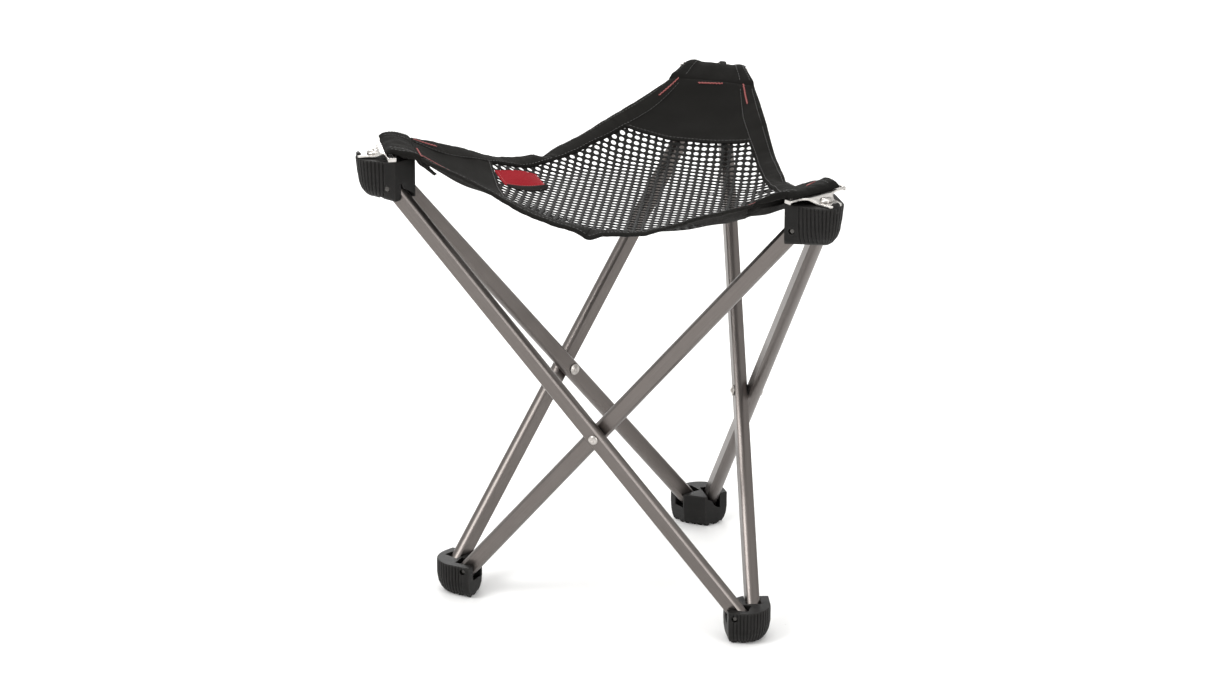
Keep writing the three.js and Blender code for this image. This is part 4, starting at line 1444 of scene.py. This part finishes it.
def seam(path, length=2.7, gap=1.0, samples=400):
    """Stitch ends at even spacing along the curve path(t), t in 0..1."""
    points = np.array([np.array(path(k / samples), float) for k in range(samples + 1)])
    steps = np.linalg.norm(np.diff(points, axis=0), axis=1)
    runs = np.concatenate([[0.0], np.cumsum(steps)])

    def at(run):
        return np.array([np.interp(run, runs, column) for column in points.T])

    segments = []
    run = 0.4
    while run + length < runs[-1]:
        segments.append((at(run), at(run + length)))
        run += length + gap
    return segments


# ---- cloth heads over the hub plates -------------------------------------------------------
# r, top height on the centre line, top height along the hems, height of the underside
HEAD_TABLE = [
    (199.5, 19.6, 20.6, 14.6), (203.5, 22.2, 23.4, 16.4), (206.0, 25.2, 27.0, 19.5),
    (207.4, 26.6, 28.0, 25.3), (210.0, 28.4, 29.4, 25.6), (214.0, 30.8, 31.4, 26.6),
    (218.0, 33.0, 33.4, 28.6), (222.0, 34.8, 35.0, 30.6), (226.0, 35.9, 36.0, 32.4),
    (229.5, 36.2, 36.3, 32.5), (232.0, 35.8, 35.9, 32.5), (234.0, 34.6, 34.6, 32.6),
    (235.3, 33.4, 33.4, 32.7),
]
HEAD_R, HEAD_MIDDLE, HEAD_HEM, HEAD_UNDER = zip(*HEAD_TABLE)
HEAD_LEAN = (0.3, 1.4, -1.1)    # how much higher each corner's head sits
HEAD_THICK = 6.5


def head_half_width(r):
    return max(28.2, half_width(r) + 0.45) - (1.6 if r < 204 else 0.0)


def head_shift(r):
    """The head moves over in +Y to the middle of the hub."""
    return ease(clamp01((r - 207.0) / 22.0), 3.6)


def head_top(r, f, corner):
    """Height of the upper face, f in -1..1 across."""
    middle, side = np.interp(r, HEAD_R, HEAD_MIDDLE), np.interp(r, HEAD_R, HEAD_HEM)
    # the two hems stand up, with a low step at their inner sides
    if abs(f) > 0.62:
        hem = bell(abs(f), 0.80, 0.17)
    else:
        hem = bell(abs(f), 0.62, 0.035) * 0.32
    drawn = max(0.0, START_RISE[corner] - 0.8) if f > 0 else 0.0
    side += drawn * (1 - ease(clamp01((r - 206.0) / 19.0)))
    z = middle + (side - middle) * abs(f) ** 1.7 + 1.1 * hem
    lean = HEAD_LEAN[corner] * clamp01((r - 206.0) / 12.0)
    v = f * head_half_width(r)
    crease = (
        0.30 * math.sin(v * 0.21 + 1.3 * corner + r * 0.16)
        + 0.22 * math.sin(v * 0.47 - r * 0.27 + 2.0 * corner)
    )
    return z + lean + crease * (1 - f * f)


def build_head(i, corner, place):
    rows, columns = 54, 72
    rings, uv = [], []
    for a in range(rows + 1):
        r = HEAD_R[0] + (HEAD_R[-1] - HEAD_R[0]) * (a / rows)
        width, under = head_half_width(r), np.interp(r, HEAD_R, HEAD_UNDER)
        upper, lower = [], []
        for b in range(columns + 1):
            f = -1 + 2 * b / columns
            top = head_top(r, f, i)
            low = max(under, top - HEAD_THICK)
            rim = max(0.0, (abs(f) - 0.93) / 0.07)
            rounding = (top - low) * 0.34 * rim * rim
            y = f * width + head_shift(r)
            upper.append((r, y, top - rounding))
            lower.append((r, y, low + rounding))
            uv.append((r, f * width))
        uv += [(u + 200, v) for u, v in reversed(uv[-len(upper):])]
        rings.append(upper + lower[::-1])
    ob = part(f"webbing_roll_{corner}", loft(rings), SEAT_PLACE @ place, WEBBING,
              f"hub_{corner}", f"webbing_head_{corner}", uv=uv, angle=60)
    face_outward_and_shade(ob, 60)


def build_head_stitching(i, corner, place):
    """The seams of the two hems, carried on over the head."""
    segments = []
    for f in (-0.90, -0.66, 0.66, 0.90):

        def line(t):
            r = 207.5 + 25.0 * t
            y = f * head_half_width(r) + head_shift(r)
            return place @ Vector((r, y, head_top(r, f, i) + 0.12))

        segments += seam(line, samples=160)
    part(f"head_stitching_{corner}", stitches(segments, 0.28), SEAT_PLACE, DARK_THREAD,
         f"hub_{corner}", angle=80)


def build_turned_under(i, corner):
    """A layer of cloth beneath the pocket's outer end."""

    def under(a, b):
        r = 188.0 + 16.5 * a + (1.1 * math.sin(9 * b + i) if a < 0.05 else 0)
        v = (half_width(r) - 9.0 - 5.0 * (1 - a)) * (-1 + 2 * b)
        return r, v, -2.9 - 1.3 * (1 - a) + 0.5 * math.sin(v * 0.17 + i)

    cloth_layer(f"turned_under_{corner}", 18, 30, under, i, TAPE, half_thick=1.1)


def build_heads():
    for i, corner in enumerate(CORNERS):
        place = turn(CORNER_ANGLES[i])
        build_head(i, corner, place)
        build_head_stitching(i, corner, place)
        build_turned_under(i, corner)


# ---- seat stitching ------------------------------------------------------------------------
def bar_tack(start, end, lift, corner, width=1.9, pitch=0.75):
    """A dense zigzag between two (r, v) points."""
    start, end = np.array(start, float), np.array(end, float)
    length = np.linalg.norm(end - start)
    along = (end - start) / length
    across = np.array([-along[1], along[0]])
    points = []
    for k in range(int(length / pitch) + 1):
        swing = (width / 2 if k % 2 else -width / 2) * (0.75 + 0.35 * math.sin(k * 1.7 + length))
        r, v = start + along * (k * pitch) + across * swing
        points.append(seat_point(r, v, lift, corner))
    return list(zip(points, points[1:]))


def build_stitching():
    for i, corner in enumerate(CORNERS):
        segments = []
        for sign, side in ((-1, (i + 2) % 3), (1, i)):
            for inset in (HEM_WIDTH - 2.4, 3.4):

                def along_hem(t):
                    r, v, lift = hem_point(0.015 + 0.965 * t, inset, sign, side)
                    return seat_point(r, v, lift + HEM_HALF_THICK + 0.08, i)

                segments += seam(along_hem)

        def across_pocket(t):
            start = POCKET_START[i]
            v = (half_width(start) - 20) * (-1 + 2 * t)
            return seat_point(start + 2.4, v, lip_lift(v, i) + 1.1, i)

        segments += seam(across_pocket)
        ob = part(f"seam_stitching_{corner}", stitches(segments, 0.30), SEAT_PLACE, DARK_THREAD,
                  f"seat_{corner}", angle=80)
        squash_seat(ob)

        segments = []
        for sign in (-1, 1):
            segments += bar_tack((204.5, sign * 32.5), (181.0, sign * 45.5), 3.55, i)
        segments += bar_tack((202.0, 12.0), (203.5, -12.0), 2.75, i)
        ob = part(f"bar_tacks_{corner}", stitches(segments, 0.38, count=5), SEAT_PLACE,
                  RED_THREAD, f"seat_{corner}", angle=80)
        squash_seat(ob)


# ---- red ribbon near the left corner -------------------------------------------------------
RIBBON_START = np.array([-131.0, -26.0])        # plan ends of its raised edge
RIBBON_END = np.array([-103.0, 7.9])
RIBBON_LENGTH = float(np.linalg.norm(RIBBON_END - RIBBON_START))
RIBBON_ALONG = (RIBBON_END - RIBBON_START) / RIBBON_LENGTH
RIBBON_FORWARD = np.array([RIBBON_ALONG[1], -RIBBON_ALONG[0]])      # towards the front right
RIBBON_DEPTH = 20.0
RIBBON_HALF = 0.45


def ribbon_surface(a, b):
    """The ribbon's middle surface, from its raised edge (b = 0) to its low edge (b = 1)."""
    arch = math.sin(math.pi * a)
    forward = RIBBON_DEPTH * b + 1.2 * arch * b
    x, y = RIBBON_START + RIBBON_ALONG * RIBBON_LENGTH * a + RIBBON_FORWARD * forward
    lift = 1.6 + 8.0 * (1 - b) ** 1.2 * (0.55 + 0.45 * arch) + 1.2 * math.sin(math.pi * b) * arch
    return x, y, float(seat_height(x, y)) + lift


def lining_surface(a, b):
    """The dark strip in front of the ribbon."""
    forward = 18.5 + 9.0 * b * (0.6 + 0.4 * math.sin(math.pi * a))
    along = RIBBON_LENGTH * (0.05 + 0.95 * a)
    x, y = RIBBON_START + RIBBON_ALONG * along + RIBBON_FORWARD * forward
    lift = 1.3 + 2.6 * math.sin(math.pi * min(1, b + 0.12)) * (0.4 + 0.6 * a)
    return x, y, float(seat_height(x, y)) + lift


def label_strip(name, surface, rows, columns, half_thick, uv_depth, material, replaces=None):
    verts, uv = [], []
    for offset in (half_thick, -half_thick):
        for i in range(rows + 1):
            for j in range(columns + 1):
                a, b = i / rows, j / columns
                x, y, z = surface(a, b)
                verts.append((x, y, z + offset))
                uv.append((a * RIBBON_LENGTH, b * uv_depth))
    ob = part(name, (verts, slab_faces(rows, columns)), SEAT_PLACE, material, "seat_left",
              replaces, uv=uv, angle=60)
    face_outward_and_shade(ob, 60)
    squash_seat(ob)


def build_label_stitching():
    """Stitches along the ribbon's low edge and both its ends."""

    def on_ribbon(a, b):
        x, y, z = ribbon_surface(a, b)
        return x, y, z + RIBBON_HALF + 0.12

    segments = seam(lambda t: on_ribbon(0.04 + 0.92 * t, 0.9), length=1.9, gap=0.8, samples=120)
    for a in (0.05, 0.95):
        segments += seam(lambda t: on_ribbon(a, 0.08 + 0.8 * t), length=1.7, gap=0.7, samples=60)
    ob = part("label_stitching", stitches(segments, 0.24), SEAT_PLACE, RED_THREAD, "seat_left",
              angle=80)
    squash_seat(ob)


def build_label():
    label_strip("label_ribbon", ribbon_surface, rows=34, columns=16, half_thick=RIBBON_HALF,
                uv_depth=RIBBON_DEPTH, material=RED_CLOTH, replaces="label_tab")
    build_label_stitching()
    label_strip("label_lining", lining_surface, rows=30, columns=8, half_thick=0.4,
                uv_depth=10, material=LINING_CLOTH)


# ---- build ---------------------------------------------------------------------------------
for side_index in range(3):
    for is_outer in (True, False):
        build_tube(side_index, is_outer)
build_rivets()
build_hardware()
SAG[:] = settle_sling()
build_open_mesh()
build_pockets()
build_edge_tapes()
build_heads()
build_stitching()
build_label()

# ---- stage, in metres ----------------------------------------------------------------------
scene = bpy.context.scene
scene.view_settings.view_transform = "Standard"
scene.view_settings.look = "None"


def floor_material():
    m = Shader("pale_floor")
    cloud = m.noise(m.coords("Object"), scale=3.0, detail=3, roughness=0.5)
    m.set(
        Base_Color=m.ramp(cloud, (0.3, (0.86, 0.86, 0.855)), (0.7, (0.9, 0.9, 0.895))),
        Roughness=0.9,
    )
    return m.material


def build_floor():
    """A floor that sweeps up into a backdrop behind the stool."""
    half_wide = 9.6
    bend_start, bend_radius = 3.0, 2.0
    profile = [(-6.0, 0.0), (bend_start, 0.0)]
    for i in range(1, 13):
        angle = math.pi / 2 * i / 12
        profile.append((
            bend_start + bend_radius * math.sin(angle),
            bend_radius - bend_radius * math.cos(angle),
        ))
    profile.append((bend_start + bend_radius, 9.0))
    verts = [(x, y, z) for y, z in profile for x in (-half_wide, half_wide)]
    faces = [(2 * i, 2 * i + 1, 2 * i + 3, 2 * i + 2) for i in range(len(profile) - 1)]
    material = floor_material()
    mesh = bpy.data.meshes.new("studio_floor")
    mesh.from_pydata(verts, [], faces)
    mesh.shade_smooth()
    ob = bpy.data.objects.new("studio_floor", mesh)
    scene.collection.objects.link(ob)
    mesh.materials.append(material)
    ob.rotation_euler = (0, 0, math.radians(19.7))


def light_world():
    world = bpy.data.worlds.new("studio") if scene.world is None else scene.world
    scene.world = world
    world.use_nodes = True
    nodes = world.node_tree.nodes
    background = nodes.get("Background") or nodes.new("ShaderNodeBackground")
    background.inputs["Color"].default_value = (1.0, 0.995, 0.985, 1)
    background.inputs["Strength"].default_value = 0.92


def area_light(name, location, size, power):
    """A rectangular light aimed at the middle of the stool."""
    light = bpy.data.lights.new(name, "AREA")
    light.shape = "RECTANGLE"
    light.size, light.size_y = size
    light.energy = power
    ob = bpy.data.objects.new(name, light)
    ob.location = location
    aim_line = Vector((0, 0, 0.25)) - Vector(location)
    ob.rotation_euler = aim_line.to_track_quat("-Z", "Y").to_euler()
    scene.collection.objects.link(ob)


def build_camera():
    azimuth, elevation = math.radians(19.698), math.radians(20.129)
    roll = math.radians(-0.4035)
    distance = 4.19184
    back = Vector((
        math.sin(azimuth) * math.cos(elevation),
        -math.cos(azimuth) * math.cos(elevation),
        math.sin(elevation),
    ))
    target = (ORIGIN + Vector((0, 0, RISE / 2))) * MM
    right = (-back).cross(Vector((0, 0, 1))).normalized()
    up = right.cross(-back)
    rolled_right = right * math.cos(roll) - up * math.sin(roll)
    rolled_up = right * math.sin(roll) + up * math.cos(roll)
    camera = bpy.data.cameras.new("camera")
    camera.lens = 132.328683
    camera.sensor_width = 36.0
    camera.shift_x = -0.0180170732
    camera.shift_y = 0.0143626016
    camera.clip_end = 50
    ob = bpy.data.objects.new("camera", camera)
    place = Matrix((rolled_right, rolled_up, back)).transposed().to_4x4()
    place.translation = target + back * distance
    ob.matrix_world = place
    scene.collection.objects.link(ob)
    scene.camera = ob


build_floor()
light_world()
area_light("key_soft", location=(-1.6, -2.2, 2.6), size=(1.4, 1.4), power=62)
area_light("fill_right", location=(2.6, -1.4, 1.3), size=(1.0, 1.8), power=26)
area_light("top_soft", location=(0.1, 0.4, 3.0), size=(2.4, 2.4), power=34)
area_light("rim_back", location=(-1.4, 2.4, 1.6), size=(1.2, 1.6), power=26)
build_camera()
